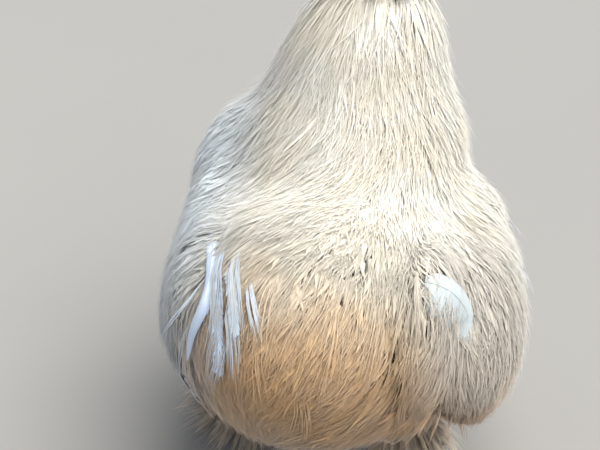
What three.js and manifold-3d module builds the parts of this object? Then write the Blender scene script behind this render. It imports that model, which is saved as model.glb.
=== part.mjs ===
// A silkie hen, life size, standing with the neck raised, as a museum model shows one.
// Millimetres. The bird faces -Y, its left side is +X, up is +Z and the floor is Z = 0.
// Each part of the body has a smooth core of flesh and inner down. The silky coat is built
// over it as flat tapered locks that follow its lie, and the flight feathers as vanes.
import * as THREE from "three";
import { mergeVertices } from "three/addons/utils/BufferGeometryUtils.js";
import Module from "manifold-3d";

const wasm = await Module();
wasm.setup();

// Clearance kept between touching nodes. A lock grows by LOCK_GAP to cut it from a neighbour,
// and sideways by FLANK times that, as the edges of so flat a section would gain nothing else.
const GAP = 0.35;
const LOCK_GAP = 0.7;
const FLANK = 2.7;

// Driving sizes.
const BACK = 145; // height of the trunk's centre
const HEAD = new THREE.Vector3(-4, -104, 322); // centre of the skull
const HOCK = 62; // height of the hock
const SHANK = 5.6; // radius of the shank
const COAT_FLOOR = 48; // lowest tip of the coat on the belly and thighs

// The left leg stands a little wide and a step ahead of the right one.
const SIDES = [
  { word: "left", sign: 1, leg: [57, -16] },
  { word: "right", sign: -1, leg: [-46, 8] },
];

// Forms: soft unions of ellipsoids, each with a centre, radii and a tilt in degrees.

function ellipsoid(centre, radii, tilt = [0, 0, 0]) {
  const turn = new THREE.Euler(...tilt.map(THREE.MathUtils.degToRad));
  return {
    centre: new THREE.Vector3(...centre),
    radii: new THREE.Vector3(...radii),
    toLocal: new THREE.Quaternion().setFromEuler(turn).invert(),
  };
}

// About how far p lies outside an ellipsoid, negative inside.
function outside(e, p) {
  const q = p.clone().sub(e.centre).applyQuaternion(e.toLocal).divide(e.radii);
  const share = q.length();
  const slope = q.divide(e.radii).length();
  return slope === 0 ? -e.radii.x : (share * (share - 1)) / slope;
}

function softMin(a, b, soften) {
  const h = Math.max(soften - Math.abs(a - b), 0) / soften;
  return Math.min(a, b) - (h * h * soften) / 4;
}

function form(parts, soften = 14) {
  return {
    parts,
    centre: parts[0].centre,
    distance: (p) => parts.map((e) => outside(e, p)).reduce((a, b) => softMin(a, b, soften)),
  };
}

function joined(...forms) {
  return form(forms.flatMap((f) => f.parts));
}

function normalAt(shape, p) {
  const step = 0.5;
  const slope = ["x", "y", "z"].map((axis) => {
    const ahead = p.clone();
    const behind = p.clone();
    ahead[axis] += step;
    behind[axis] -= step;
    return shape.distance(ahead) - shape.distance(behind);
  });
  return new THREE.Vector3(...slope).normalize();
}

// The point where a ray from the form's centre leaves the form grown by offset.
function onSurface(shape, direction, offset = 0) {
  let near = 0;
  let far = 260;
  while (far - near > 1e-4) {
    const middle = (near + far) / 2;
    const p = shape.centre.clone().addScaledVector(direction, middle);
    if (shape.distance(p) < offset) near = middle;
    else far = middle;
  }
  return shape.centre.clone().addScaledVector(direction, near);
}

// Moves p onto a form's surface along the form's own normal.
function settle(shape, p) {
  for (let i = 0; i < 3; i++) p.addScaledVector(normalAt(shape, p), -shape.distance(p));
  return p;
}

// Solids.

function solidOf(geometry) {
  geometry.deleteAttribute("normal");
  geometry.deleteAttribute("uv");
  const merged = mergeVertices(geometry, 1e-4);
  return new wasm.Manifold(
    new wasm.Mesh({
      numProp: 3,
      vertProperties: merged.attributes.position.array,
      triVerts: new Uint32Array(merged.index.array),
    }),
  );
}

const union = (solids) => wasm.Manifold.union(solids);
const without = (solid, others) => (others.length ? solid.subtract(union(others)) : solid);

// A faceted solid of a form grown by offset.
function bodyOf(shape, offset = 0, columns = 16, rows = 10) {
  const sphere = new THREE.SphereGeometry(1, columns, rows).rotateX(Math.PI / 2);
  const at = sphere.attributes.position;
  for (let i = 0; i < at.count; i++) {
    const direction = new THREE.Vector3().fromBufferAttribute(at, i).normalize();
    const p = onSurface(shape, direction, offset);
    at.setXYZ(i, p.x, p.y, p.z);
  }
  return solidOf(sphere);
}

function ball(centre, radii, columns = 12, rows = 8) {
  const [rx, ry, rz] = Array.isArray(radii) ? radii : [radii, radii, radii];
  return solidOf(new THREE.SphereGeometry(1, columns, rows).scale(rx, ry, rz).translate(...centre));
}

function slab(low, high) {
  const size = high.map((h, i) => h - low[i]);
  return solidOf(new THREE.BoxGeometry(...size).translate(...high.map((h, i) => h - size[i] / 2)));
}

// A closed tapering tube along stations of {point, across, up}, with the given number of sides.
// size(share) gives [half width, half height] at a share of its length, and the far end is a tip.
function tapered(stations, sides, size) {
  const steps = stations.length - 1;
  const cone = new THREE.ConeGeometry(1, 1, sides, steps);
  const at = cone.attributes.position;
  for (let i = 0; i < at.count; i++) {
    const share = at.getY(i) + 0.5;
    const { point, across, up } = stations[Math.round(share * steps)];
    const [wide, high] = size(share);
    const ring = Math.hypot(at.getX(i), at.getZ(i));
    const x = ring > 1e-6 ? (at.getX(i) / ring) * wide : 0;
    const z = ring > 1e-6 ? (at.getZ(i) / ring) * high : 0;
    const p = point.clone().addScaledVector(across, x).addScaledVector(up, z);
    at.setXYZ(i, p.x, p.y, p.z);
  }
  return solidOf(cone);
}

// Stations through points, each with the directions across the piece and up from it.
function stationsThrough(points, upward) {
  return points.map((point, i) => {
    const ahead = points[Math.min(i + 1, points.length - 1)];
    const behind = points[Math.max(i - 1, 0)];
    const tangent = ahead.clone().sub(behind).normalize();
    const across = tangent.clone().cross(upward(i)).normalize();
    return { point, across, up: across.clone().cross(tangent) };
  });
}

// Stations along a smooth curve, with up kept near the given direction.
function along(points, steps, upward = new THREE.Vector3(0, 0, 1)) {
  const curve = new THREE.CatmullRomCurve3(points.map((p) => new THREE.Vector3(...p)));
  return stationsThrough(curve.getSpacedPoints(steps), () => upward);
}

// A repeatable stream of numbers from 0 to 1.
function seeded(seed) {
  let state = seed;
  return () => {
    state = (state * 1664525 + 1013904223) % 4294967296;
    return state / 4294967296;
  };
}

// Trunk: core, and how far out its coat reaches.
const torsoCore = form([
  ellipsoid([0, 0, BACK], [82, 104, 68]),
  ellipsoid([0, -50, 142], [72, 60, 64]),
  ellipsoid([0, -40, 176], [66, 52, 46]),
  ellipsoid([0, 50, 150], [70, 62, 64]),
]);
const torsoCoat = form([
  ellipsoid([0, 0, 144], [101, 124, 88]),
  ellipsoid([0, -58, 142], [92, 80, 80]),
  ellipsoid([0, 50, 150], [92, 82, 84]),
]);

// Neck: core, and the cone of the hackle.
const neckCore = form([
  ellipsoid([3, -62, 220], [52, 48, 44]),
  ellipsoid([2, -76, 254], [39, 37, 44]),
  ellipsoid([-2, -90, 290], [29, 28, 32]),
]);
const neckCoat = form(
  [
    ellipsoid([4, -74, 252], [60, 57, 62]),
    ellipsoid([-1, -88, 292], [47, 45, 50]),
    ellipsoid([3, -56, 222], [78, 74, 50]),
  ],
  20,
);

// Head and its crest and beard. The window is the bare face that both leave open.
const headCore = form(
  [
    ellipsoid([HEAD.x, HEAD.y, HEAD.z], [15.5, 20, 15.5]),
    ellipsoid([HEAD.x, HEAD.y - 12, HEAD.z - 3], [11, 12.5, 10.5]),
    ellipsoid([HEAD.x, HEAD.y + 4, HEAD.z - 12], [13, 15, 12]),
  ],
  8,
);
const crestCore = form([ellipsoid([HEAD.x, HEAD.y + 12, HEAD.z + 15], [29, 31, 25])]);
const crestCoat = form([ellipsoid([HEAD.x, HEAD.y + 13, HEAD.z + 17], [43, 45, 38])]);
const beardCore = form([ellipsoid([HEAD.x, HEAD.y - 5, HEAD.z - 18], [24, 21, 13])]);
const beardCoat = form([ellipsoid([HEAD.x, HEAD.y - 6, HEAD.z - 21], [35, 30, 24])]);
const faceWindow = form([ellipsoid([HEAD.x, HEAD.y - 21, HEAD.z - 2], [30, 25, 12])]);
const combRoom = form([ellipsoid([HEAD.x, HEAD.y - 18.5, HEAD.z + 12], [9.4, 8.2, 9])]);

// Wings: the right one is fluffed out further and hangs lower, as in the photograph.
const wingForms = {
  left: {
    core: form([
      ellipsoid([80, -50, 182], [22, 42, 34], [-18, 0, 8]),
      ellipsoid([86, 6, 148], [18, 58, 42], [-26, 0, -4]),
    ]),
    coat: form([
      ellipsoid([79, -56, 186], [33, 50, 46], [-18, 0, 8]),
      ellipsoid([86, 6, 146], [27, 64, 54], [-26, 0, -4]),
      ellipsoid([72, 58, 162], [26, 50, 56], [20, 0, 0]),
    ]),
  },
  right: {
    core: form([
      ellipsoid([-78, -34, 162], [20, 42, 34], [-18, 0, -8]),
      ellipsoid([-94, 14, 138], [21, 58, 44], [-20, 0, 4]),
    ]),
    coat: form([
      ellipsoid([-76, -34, 160], [30, 48, 42], [-18, 0, -8]),
      ellipsoid([-98, 14, 134], [33, 64, 54], [-20, 0, 4]),
      ellipsoid([-72, 58, 164], [28, 52, 58], [20, 0, 0]),
    ]),
  },
};

// Tail: the soft cushion over the short tail feathers.
const tailCore = form([ellipsoid([0, 88, 168], [50, 44, 48], [-10, 0, 0])]);
const tailCoat = form([ellipsoid([0, 88, 170], [66, 60, 62], [-10, 0, 0])]);

const thighForms = ([x, y]) => ({
  core: form([ellipsoid([x * 0.96, y + 6, 88], [26, 31, 32])]),
  coat: form([ellipsoid([x * 0.96, y + 8, 86], [38, 44, 42])]),
});

// Coats. A lie says which way the locks run at a point. Roots stand a spacing apart on the
// core, and each lock rises from its sunk root to the coat's own outer form.
const ROW = 0.42;
const COLUMN = 1.9;
const SUNK = 5;
const OVER_OTHERS = 5; // a lock keeps at least this far above the cores that it passes
const toward = (x, y, z) => () => new THREE.Vector3(x, y, z);
const outwardFrom = (centre, bias) => (p) => p.clone().sub(centre).normalize().add(bias);

const trunk = joined(torsoCore, tailCore);
const coats = {
  crest: {
    passes: [],
    core: crestCore,
    coat: crestCoat,
    over: joined(crestCore, headCore),
    lie: outwardFrom(
      new THREE.Vector3(HEAD.x, HEAD.y - 32, HEAD.z + 6),
      new THREE.Vector3(0, 0.1, -0.4),
    ),
    length: 32,
    wide: 8.5,
    thick: 2.2,
    seed: 21,
  },
  beard: {
    passes: ["neck"],
    core: beardCore,
    coat: beardCoat,
    over: joined(beardCore, headCore),
    lie: outwardFrom(
      new THREE.Vector3(HEAD.x, HEAD.y - 8, HEAD.z + 4),
      new THREE.Vector3(0, 0.15, -0.4),
    ),
    length: 24,
    wide: 6.5,
    thick: 2.2,
    seed: 12,
  },
  neck: {
    passes: ["torso"],
    core: neckCore,
    coat: neckCoat,
    over: joined(neckCore, torsoCore),
    lie: toward(0.06, 0.15, -1),
    length: 68,
    wide: 10,
    thick: 3.2,
    seed: 13,
  },
  wing_left: {
    passes: ["torso"],
    core: wingForms.left.core,
    coat: wingForms.left.coat,
    over: joined(wingForms.left.core, torsoCore),
    lie: toward(0, 0.75, -0.65),
    length: 54,
    wide: 12,
    thick: 2.2,
    rearmost: 26,
    seed: 14,
  },
  wing_right: {
    passes: ["torso"],
    core: wingForms.right.core,
    coat: wingForms.right.coat,
    over: joined(wingForms.right.core, torsoCore),
    lie: toward(0, 0.75, -0.65),
    length: 54,
    wide: 12,
    thick: 2.2,
    rearmost: 34,
    seed: 15,
  },
  torso: {
    passes: ["tail"],
    core: torsoCore,
    coat: torsoCoat,
    over: trunk,
    lie: toward(0.2, 0.6, -0.8),
    length: 64,
    wide: 15,
    thick: 3.6,
    seed: 16,
  },
  tail: {
    passes: ["torso"],
    core: tailCore,
    coat: tailCoat,
    over: tailCore,
    lie: outwardFrom(new THREE.Vector3(4, 40, 226), new THREE.Vector3(0.1, 0.1, -0.4)),
    length: 50,
    wide: 12.5,
    thick: 3,
    seed: 17,
  },
  ...Object.fromEntries(
    SIDES.map(({ word, leg }, i) => [
      `thigh_${word}`,
      {
        ...thighForms(leg),
        passes: ["torso"],
        over: thighForms(leg).core,
        lie: toward(0, 0.3, -1),
        length: 36,
        wide: 9.5,
        thick: 2.6,
        seed: 18 + i,
      },
    ]),
  ),
};

// Cores yield to the ones named before them, and locks to the locks named before them.
const CORE_ORDER = [
  "torso",
  "neck",
  "beard",
  "crest",
  "wing_left",
  "wing_right",
  "tail",
  "thigh_left",
  "thigh_right",
];
const LOCK_ORDER = [
  "crest",
  "beard",
  "neck",
  "wing_left",
  "wing_right",
  "torso",
  "tail",
  "thigh_left",
  "thigh_right",
];
const HEADGEAR = ["crest", "beard"];
const above = (name) => LOCK_ORDER.slice(0, LOCK_ORDER.indexOf(name));

// Where a lock of one part may not stand or end: well inside a coat that lies over its own.
function buried(name, p, depth) {
  return above(name).some((other) => coats[other].coat.distance(p) < -depth);
}

// Roots stand almost a lock's width apart across the lie, and overlap well along it.
function apart(name, root, p) {
  const { over, lie, wide, length } = coats[name];
  const step = p.clone().sub(root);
  const heading = lie(root).projectOnPlane(normalAt(over, root)).normalize();
  const ahead = step.dot(heading);
  const aside = step.addScaledVector(heading, -ahead).length();
  return Math.hypot(ahead / (ROW * length), aside / (COLUMN * wide)) > 1;
}

// Roots spread evenly over the part of a core that no other core covers.
function rootsOn(name) {
  const { core, seed } = coats[name];
  const random = seeded(seed);
  const others = CORE_ORDER.filter((other) => other !== name).map((other) => coats[other].core);
  const roots = [];
  const tries = 2500;
  for (let i = 0; i < tries; i++) {
    const z = 2 * random() - 1;
    const turn = 2 * Math.PI * random();
    const flat = Math.sqrt(1 - z * z);
    const direction = new THREE.Vector3(flat * Math.cos(turn), flat * Math.sin(turn), z);
    const p = onSurface(core, direction);
    if ([...others, headCore].some((other) => other.distance(p) < 1.5)) continue;
    if (name !== "tail" && buried(name, p, name === "torso" ? 10 : 16)) continue;
    if (HEADGEAR.includes(name) && faceWindow.distance(p) < 1) continue;
    if (p.y > (coats[name].rearmost ?? 200)) continue;
    if (roots.every((root) => apart(name, root, p))) roots.push(p);
  }
  return roots;
}

// The middle line of a lock over its surface, or null where it has no room.
function strand(name, root, length, turn) {
  const { coat, lie, over } = coats[name];
  const steps = 3;
  const points = [];
  const normals = [];
  const base = root.clone();
  for (let i = 0; i <= steps; i++) {
    const share = i / steps;
    const normal = normalAt(over, base);
    const depth = Math.max(-coat.distance(base), OVER_OTHERS);
    const rise = i === 0 ? -SUNK : 0.96 * depth * share ** 1.15;
    points.push(base.clone().addScaledVector(normal, rise));
    normals.push(normal);
    const heading = lie(base).projectOnPlane(normal).normalize().applyAxisAngle(normal, turn);
    settle(over, base.addScaledVector(heading, length / steps));
  }
  return { points, normals };
}

// Whether p comes close to a shank, or to a core that the part's locks don't lie over.
function crowded(name, p) {
  const clear = coats[name].wide * 0.5;
  const beside = ({ leg: [x, y] }) => Math.hypot(p.x - x, p.y - y) < SHANK + clear + 2;
  if (p.z < HOCK + 4 && SIDES.some(beside)) return true;
  return CORE_ORDER.some(
    (other) =>
      other !== name && !coats[name].passes.includes(other) && coats[other].core.distance(p) < clear,
  );
}

// A lock has room where it stays above the floor of the coat and out from under its betters,
// and where the saddle hardly runs over the tail.
function fits(name, { points }) {
  const tip = points.at(-1);
  const shown = points.slice(1);
  if (tip.z < COAT_FLOOR || shown.some((p) => buried(name, p, 4))) return false;
  if (shown.some((p) => crowded(name, p))) return false;
  return name !== "torso" || tailCoat.distance(tip) > -16;
}

// The locks of one part, as {stations, wide, thick}.
function locksOf(name) {
  const { length, wide, thick, seed } = coats[name];
  const random = seeded(seed + 100);
  const locks = [];
  for (const root of rootsOn(name)) {
    const vary = 0.85 + 0.3 * random();
    const turn = 0.3 * (random() - 0.5);
    const fitting = (part) => fits(name, strand(name, root, length * vary * part, turn));
    const share = [1, 0.85, 0.7, 0.55].find(fitting);
    if (!share) continue;
    const { points, normals } = strand(name, root, length * vary * share, turn);
    locks.push({
      stations: stationsThrough(points, (i) => normals[i]),
      wide: wide * (0.85 + 0.3 * random()) * (0.5 + 0.5 * share),
      thick,
    });
  }
  return locks;
}

// A flat lock with a ridge along it, full before its middle and drawn out to a tip.
function makeLock({ stations, wide, thick }, grow = 0) {
  return tapered(stations, 3, (share) => [
    wide * (0.72 + 0.6 * share) * (1 - share ** 4) + grow * FLANK,
    thick * (1 - 0.7 * share) + grow,
  ]);
}

// Flight and tail feathers: vanes in a fan, each laid over the one before it.
// roots and tips are the two ends of the lines along which the fan's ends are spread.
const fans = {
  wing_left: {
    count: 8,
    roots: [[92, -28, 146], [80, 24, 170]],
    tips: [[79, 48, 102], [42, 88, 114]],
    wide: 8,
    over: torsoCoat,
    seed: 31,
  },
  wing_right: {
    count: 7,
    roots: [[-100, -12, 140], [-86, 22, 168]],
    tips: [[-104, 74, 104], [-60, 96, 128]],
    wide: 8.5,
    over: torsoCoat,
    seed: 32,
  },
  tail: {
    count: 5,
    roots: [[-24, 96, 196], [24, 96, 196]],
    tips: [[-50, 126, 136], [50, 126, 136]],
    wide: 10,
    over: tailCoat,
    seed: 33,
  },
};

// How far every other vane of a fan lies above the ones beside it.
const TIER = 3.4;

function vanesOf(name) {
  const fan = fans[name];
  if (!fan) return [];
  const random = seeded(fan.seed);
  const [from, to] = [fan.roots, fan.tips].map((ends) => ends.map((e) => new THREE.Vector3(...e)));
  return Array.from({ length: fan.count }, (_, i) => {
    const share = i / (fan.count - 1);
    const root = from[0].clone().lerp(from[1], share);
    const tip = to[0].clone().lerp(to[1], share);
    tip.addScaledVector(tip.clone().sub(root), 0.16 * (random() - 0.5));
    const points = [0, 0.35, 0.7, 1].map((t) => {
      const p = root.clone().lerp(tip, t);
      const short = TIER * (i % 2) - 5 - fan.over.distance(p);
      return t > 0 ? p.addScaledVector(normalAt(fan.over, p), Math.max(short, 0)) : p;
    });
    const normals = points.map((p) => normalAt(fan.over, p));
    return {
      stations: stationsThrough(points, (k) => normals[k]),
      wide: fan.wide * (0.85 + 0.3 * random()),
    };
  });
}

// A vane is flat on both sides of its shaft, keeps its width, and ends in a blunt point.
function makeVane({ stations, wide }, grow = 0) {
  return tapered(stations, 4, (share) => [
    wide * (0.45 + 0.75 * share) * (1 - share ** 5) + grow * FLANK,
    1.1 - 0.5 * share + grow,
  ]);
}

// Head with lids and sockets.
const EYE = { side: 10.8, forward: 9.5, rise: 2.5, radius: 4.6 };
const LOBE = { side: 14.2, back: 1, drop: 8, radii: [2.8, 4, 5.4] };
const eyeCentre = (sign, out = 0) => [
  HEAD.x + sign * (EYE.side + out),
  HEAD.y - EYE.forward,
  HEAD.z + EYE.rise,
];

function makeSkull(grow = 0) {
  const lids = SIDES.map(({ sign }) =>
    solidOf(
      new THREE.TorusGeometry(EYE.radius + 0.3, 1.3 + grow, 4, 12)
        .scale(1.12, 0.86, 1)
        .rotateY(Math.PI / 2)
        .translate(...eyeCentre(sign, 1.9)),
    ),
  );
  return union([bodyOf(headCore, grow, 16, 11), ...lids]);
}

function makeHead() {
  const sockets = SIDES.map(({ sign }) => ball(eyeCentre(sign), EYE.radius + GAP, 10, 7));
  return without(makeSkull(), sockets);
}

const makeLobe = (sign, grow = 0) =>
  ball(
    [HEAD.x + sign * LOBE.side, HEAD.y + LOBE.back, HEAD.z - LOBE.drop],
    LOBE.radii.map((r) => r + grow),
    10,
    7,
  );

// Beak: each half is a tapering horn, cut flat along the line of the mouth.
const BEAK = { length: 26, wide: 7.2, high: 7.6, root: 16, mouth: -4.4 };

function horn(length, wide, high, droop) {
  const root = [HEAD.x, HEAD.y - BEAK.root, HEAD.z + BEAK.mouth];
  const path = [0, 0.4, 0.75, 1].map((t) => [
    root[0],
    root[1] - length * t,
    root[2] + 1.2 * (1 - t) - droop * t * t,
  ]);
  return tapered(along(path, 5), 8, (share) => {
    const full = Math.sqrt(1 - share ** 2.2);
    return [wide * full, high * full];
  });
}

function makeBeak(grow = 0) {
  const mouth = HEAD.z + BEAK.mouth;
  const above = slab([-60, -180, mouth + GAP / 2], [60, -60, mouth + 40]);
  const below = slab([-60, -180, mouth - 40], [60, -60, mouth - GAP / 2]);
  const nostrils = SIDES.map(({ sign }) =>
    ball([HEAD.x + sign * 5, HEAD.y - BEAK.root - 11.5, mouth + 3], [1.6, 2.3, 0.9], 6, 4),
  );
  const upper = horn(BEAK.length, BEAK.wide + grow, BEAK.high + grow, 3.4);
  const lower = horn(BEAK.length - 4, BEAK.wide - 1 + grow, BEAK.high - 2.4 + grow, -0.8);
  return [without(upper.intersect(above), nostrils), lower.intersect(below)];
}

// Walnut comb: small bulbs close together on the forehead.
function makeComb(grow = 0) {
  const bulbs = [
    [0, -19, 12, 3.8],
    [-3.6, -17, 12.4, 3.2],
    [3.6, -17, 12.4, 3.2],
    [-2.2, -21.5, 9.4, 2.9],
    [2.4, -21.2, 9.6, 2.8],
    [0.2, -15.5, 15, 3.4],
  ];
  return union(
    bulbs.map(([x, y, z, r]) => ball([HEAD.x + x, HEAD.y + y, HEAD.z + z], r + grow, 6, 5)),
  );
}

// Feet: a shank, three front toes, the hind toe and the raised fifth toe, each with a claw.
const TOES = [
  { name: "inner", turn: -30, length: 40, thick: 4.2, rise: 0 },
  { name: "middle", turn: 2, length: 52, thick: 3.6, rise: 0 },
  { name: "outer", turn: 34, length: 42, thick: 4.2, rise: 0 },
  { name: "hind", turn: 188, length: 27, thick: 3.9, rise: 0 },
  { name: "fifth", turn: 150, length: 27, thick: 3.4, rise: 19 },
];
const SOLE = 0.9; // how much of each toe the floor's flat takes off
const CLAW = 11;

const toeRadius = (toe, share) => toe.thick * (1 - 0.35 * share);

function toePath({ sign, leg }, toe) {
  const turn = THREE.MathUtils.degToRad(toe.turn) * sign;
  const ankle = toe.rise ? 17 : 9;
  return [0, 0.3, 0.7, 1].map((share) => {
    const raised = ankle + toe.rise * share * (0.7 + 0.3 * share);
    const flat = share === 0 ? ankle : toeRadius(toe, share) - SOLE + (share < 0.5 ? 1.2 : 0);
    return [
      leg[0] + Math.sin(turn) * toe.length * share,
      leg[1] - Math.cos(turn) * toe.length * share,
      toe.rise ? raised : flat,
    ];
  });
}

function extended(path, more) {
  const end = new THREE.Vector3(...path.at(-1));
  const before = new THREE.Vector3(...path.at(-2));
  return end.clone().add(end.clone().sub(before).setLength(more)).toArray();
}

function makeClaw(path, toe) {
  const tip = new THREE.Vector3(...path.at(-1));
  const heading = tip.clone().sub(new THREE.Vector3(...path.at(-2))).normalize();
  const root = tip.clone().addScaledVector(heading, 0.5);
  const middle = root.clone().addScaledVector(heading, CLAW * 0.55);
  const end = root.clone().addScaledVector(heading, CLAW);
  middle.z += toe.rise ? 1.5 : 0.2;
  end.z -= toe.rise ? 1 : root.z - 0.8;
  return tapered(along([root, middle, end].map((v) => v.toArray()), 3), 6, (share) => {
    const full = Math.min(toe.thick * 0.5, root.z - 0.2) * (1 - share ** 1.4);
    return [full * 0.8, full];
  });
}

// Foot feathers: locks from the outer side of the shank and the outer toe, out and back.
const FOOT_FEATHERS = { onShank: 6, onToe: 2, reach: 42, wide: 6, thick: 1.8 };

function footFeathers(side) {
  const { onShank, onToe, reach, wide, thick } = FOOT_FEATHERS;
  const [x, y] = side.leg;
  const strands = [];
  for (let i = 0; i < onShank; i++) {
    const share = i / (onShank - 1);
    const turn = THREE.MathUtils.degToRad(-22 + 90 * ((i * 0.62) % 1));
    const out = [side.sign * Math.cos(turn), Math.sin(turn)];
    const high = 46 - 32 * share;
    const far = reach * (0.72 + 0.28 * share);
    const at = (t, z) => [x + out[0] * far * t, y + out[1] * far * t, z];
    strands.push([at(0, high), at(0.35, high + 2), at(0.75, high * 0.7), at(1, high * 0.42)]);
  }
  const toe = toePath(side, TOES[2]);
  for (let i = 0; i < onToe; i++) {
    const root = new THREE.Vector3(...toe[1]).lerp(new THREE.Vector3(...toe[2]), i / (onToe - 1));
    const at = (t, z) => [root.x + side.sign * 24 * t, root.y + 9 * t, z];
    strands.push([at(0, root.z + 0.5), at(0.4, 6.5), at(0.75, 5), at(1, 2.6)]);
  }
  return strands.map((points) =>
    tapered(along(points, 3), 3, (share) => [
      wide * (0.5 + 0.9 * share) * (1 - share ** 3),
      thick * (1 - 0.7 * share),
    ]),
  );
}

function makeFoot(side) {
  const floor = slab([-300, -300, -50], [300, 300, 0]);
  const shank = solidOf(
    new THREE.CylinderGeometry(SHANK, SHANK, HOCK - 6, 8)
      .rotateX(Math.PI / 2)
      .translate(...side.leg, (HOCK + 6) / 2),
  );
  const pieces = [shank, ...footFeathers(side)];
  const claws = [];
  for (const toe of TOES) {
    const path = toePath(side, toe);
    pieces.push(
      tapered(along([...path, extended(path, 3)], 5), 6, (share) => {
        const full = share > 0.99 ? 0 : toeRadius(toe, share);
        return [full, full];
      }),
    );
    claws.push(makeClaw(path, toe));
  }
  return { foot: without(union(pieces), [floor, ...claws]), claws };
}

// Assembly.
const solids = new Map();
const byName = (make) => Object.fromEntries(CORE_ORDER.map((name) => [name, make(name)]));
const feathers = byName((name) => ({ locks: locksOf(name), vanes: vanesOf(name) }));
const makeCoat = (name, grow = 0) =>
  union([
    ...feathers[name].locks.map((lock) => makeLock(lock, grow)),
    ...feathers[name].vanes.map((vane) => makeVane(vane, grow)),
  ]);
const grownCores = byName((name) => bodyOf(coats[name].core, GAP));
const grownCoats = byName((name) => makeCoat(name, LOCK_GAP));
const face = [
  bodyOf(headCore, 2, 12, 9),
  bodyOf(combRoom, 0, 8, 6),
  bodyOf(faceWindow, 0, 12, 8),
  ...SIDES.map(({ sign }) => makeLobe(sign, GAP)),
  ...SIDES.map(({ sign }) => ball(eyeCentre(sign, 1.5), [5, 8.6, 7.6], 8, 6)),
];

solids.set("head", makeHead());
for (const name of CORE_ORDER) {
  const beneath = CORE_ORDER.filter((other) => other !== name).map((other) => grownCores[other]);
  const before = CORE_ORDER.slice(0, CORE_ORDER.indexOf(name)).map((other) => grownCores[other]);
  const near = [...HEADGEAR, "neck"].includes(name) ? face : [];
  const fine = HEADGEAR.includes(name) ? [14, 8] : [16, 10];
  const core = without(bodyOf(coats[name].core, 0, ...fine), [...before, ...near]);
  const coat = without(makeCoat(name), [
    ...beneath,
    ...above(name).map((other) => grownCoats[other]),
    ...near,
  ]);
  solids.set(name, core.add(coat));
}
const skull = makeSkull(GAP);
const [upper, lower] = makeBeak();
solids.set("beak_upper", without(upper, [skull]));
solids.set("beak_lower", without(lower, [skull]));
solids.set("comb", without(makeComb(), [skull]));
for (const side of SIDES) {
  const { word, sign } = side;
  const thigh = `thigh_${word}`;
  const { foot, claws } = makeFoot(side);
  solids.set(`eye_${word}`, ball(eyeCentre(sign), EYE.radius, 10, 7));
  solids.set(`earlobe_${word}`, without(makeLobe(sign), [skull]));
  solids.set(`foot_${word}`, without(foot, [grownCores[thigh], grownCoats[thigh]]));
  TOES.forEach(({ name }, i) => solids.set(`claw_${word}_${name}`, claws[i]));
}

// Colours and finish of each kind of surface.
const finishes = {
  plumage: { color: 0xe2d3bb, roughness: 0.9 },
  skin: { color: 0x2a2630, roughness: 0.6 },
  foot: { color: 0x6b6460, roughness: 0.75 },
  comb: { color: 0x4a1f2c, roughness: 0.55 },
  earlobe: { color: 0x5f9aa8, roughness: 0.6 },
  beak: { color: 0x4a4b55, roughness: 0.4 },
  claw: { color: 0x77736d, roughness: 0.45 },
  eye: { color: 0x0c0808, roughness: 0.1 },
};
const finishOf = (name) => finishes[name === "head" ? "skin" : name.split("_")[0]] ?? finishes.plumage;

const bird = new THREE.Group();
for (const [name, solid] of solids) {
  const pieces = solid.decompose().sort((a, b) => b.volume() - a.volume());
  const mesh = pieces[0].getMesh();
  const geometry = new THREE.BufferGeometry();
  geometry.setAttribute("position", new THREE.BufferAttribute(mesh.vertProperties, 3));
  geometry.setIndex(new THREE.BufferAttribute(mesh.triVerts, 1));
  geometry.computeVertexNormals();
  const made = new THREE.Mesh(geometry, new THREE.MeshStandardMaterial(finishOf(name)));
  made.name = name;
  bird.add(made);
}

// The origin is the middle of the bounding box, on the floor.
const box = new THREE.Box3().setFromObject(bird);
const middle = box.getCenter(new THREE.Vector3());
bird.position.set(-middle.x, -middle.y, -box.min.z);

export default bird;
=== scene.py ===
# A silkie hen seen from behind and above: skin, silky coat, flight feathers, face and feet.
# Shapes are worked out in millimetres in the bird's own frame: it faces -Y, its left side is +X,
# and the floor is Z = 0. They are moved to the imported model's place as each mesh is made.
import math

import bpy
import numpy as np
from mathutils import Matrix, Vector
from mathutils.kdtree import KDTree


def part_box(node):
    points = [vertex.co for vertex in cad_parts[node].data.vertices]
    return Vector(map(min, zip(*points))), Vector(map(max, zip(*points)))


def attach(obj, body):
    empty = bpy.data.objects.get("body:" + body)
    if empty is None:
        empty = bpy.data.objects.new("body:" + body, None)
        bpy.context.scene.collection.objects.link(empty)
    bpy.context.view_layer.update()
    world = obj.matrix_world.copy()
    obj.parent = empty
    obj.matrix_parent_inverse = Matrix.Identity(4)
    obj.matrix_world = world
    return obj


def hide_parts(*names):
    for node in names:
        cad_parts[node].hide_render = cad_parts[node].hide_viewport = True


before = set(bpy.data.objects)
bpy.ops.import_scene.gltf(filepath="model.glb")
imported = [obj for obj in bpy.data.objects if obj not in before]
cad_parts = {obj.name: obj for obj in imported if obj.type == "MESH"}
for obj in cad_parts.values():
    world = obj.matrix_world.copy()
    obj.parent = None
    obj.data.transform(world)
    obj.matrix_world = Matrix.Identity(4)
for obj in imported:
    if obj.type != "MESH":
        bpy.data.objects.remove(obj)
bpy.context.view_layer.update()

MM = 0.001
HEAD = np.array([-4.0, -104.0, 322.0])  # centre of the skull
EYE = {"side": 10.8, "forward": 9.5, "rise": 2.5, "radius": 4.6}
HOCK = 62.0
LEGS = {"left": (1, (57.0, -16.0)), "right": (-1, (-46.0, 8.0))}
BODY = "root"

eye_low, eye_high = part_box("eye_left")
LEFT_EYE = HEAD + [EYE["side"], -EYE["forward"], EYE["rise"]]
SHIFT = np.array(eye_low + eye_high) / 2 / MM - LEFT_EYE


# Forms: soft unions of ellipsoids, close to those that the solids are made from.

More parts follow.
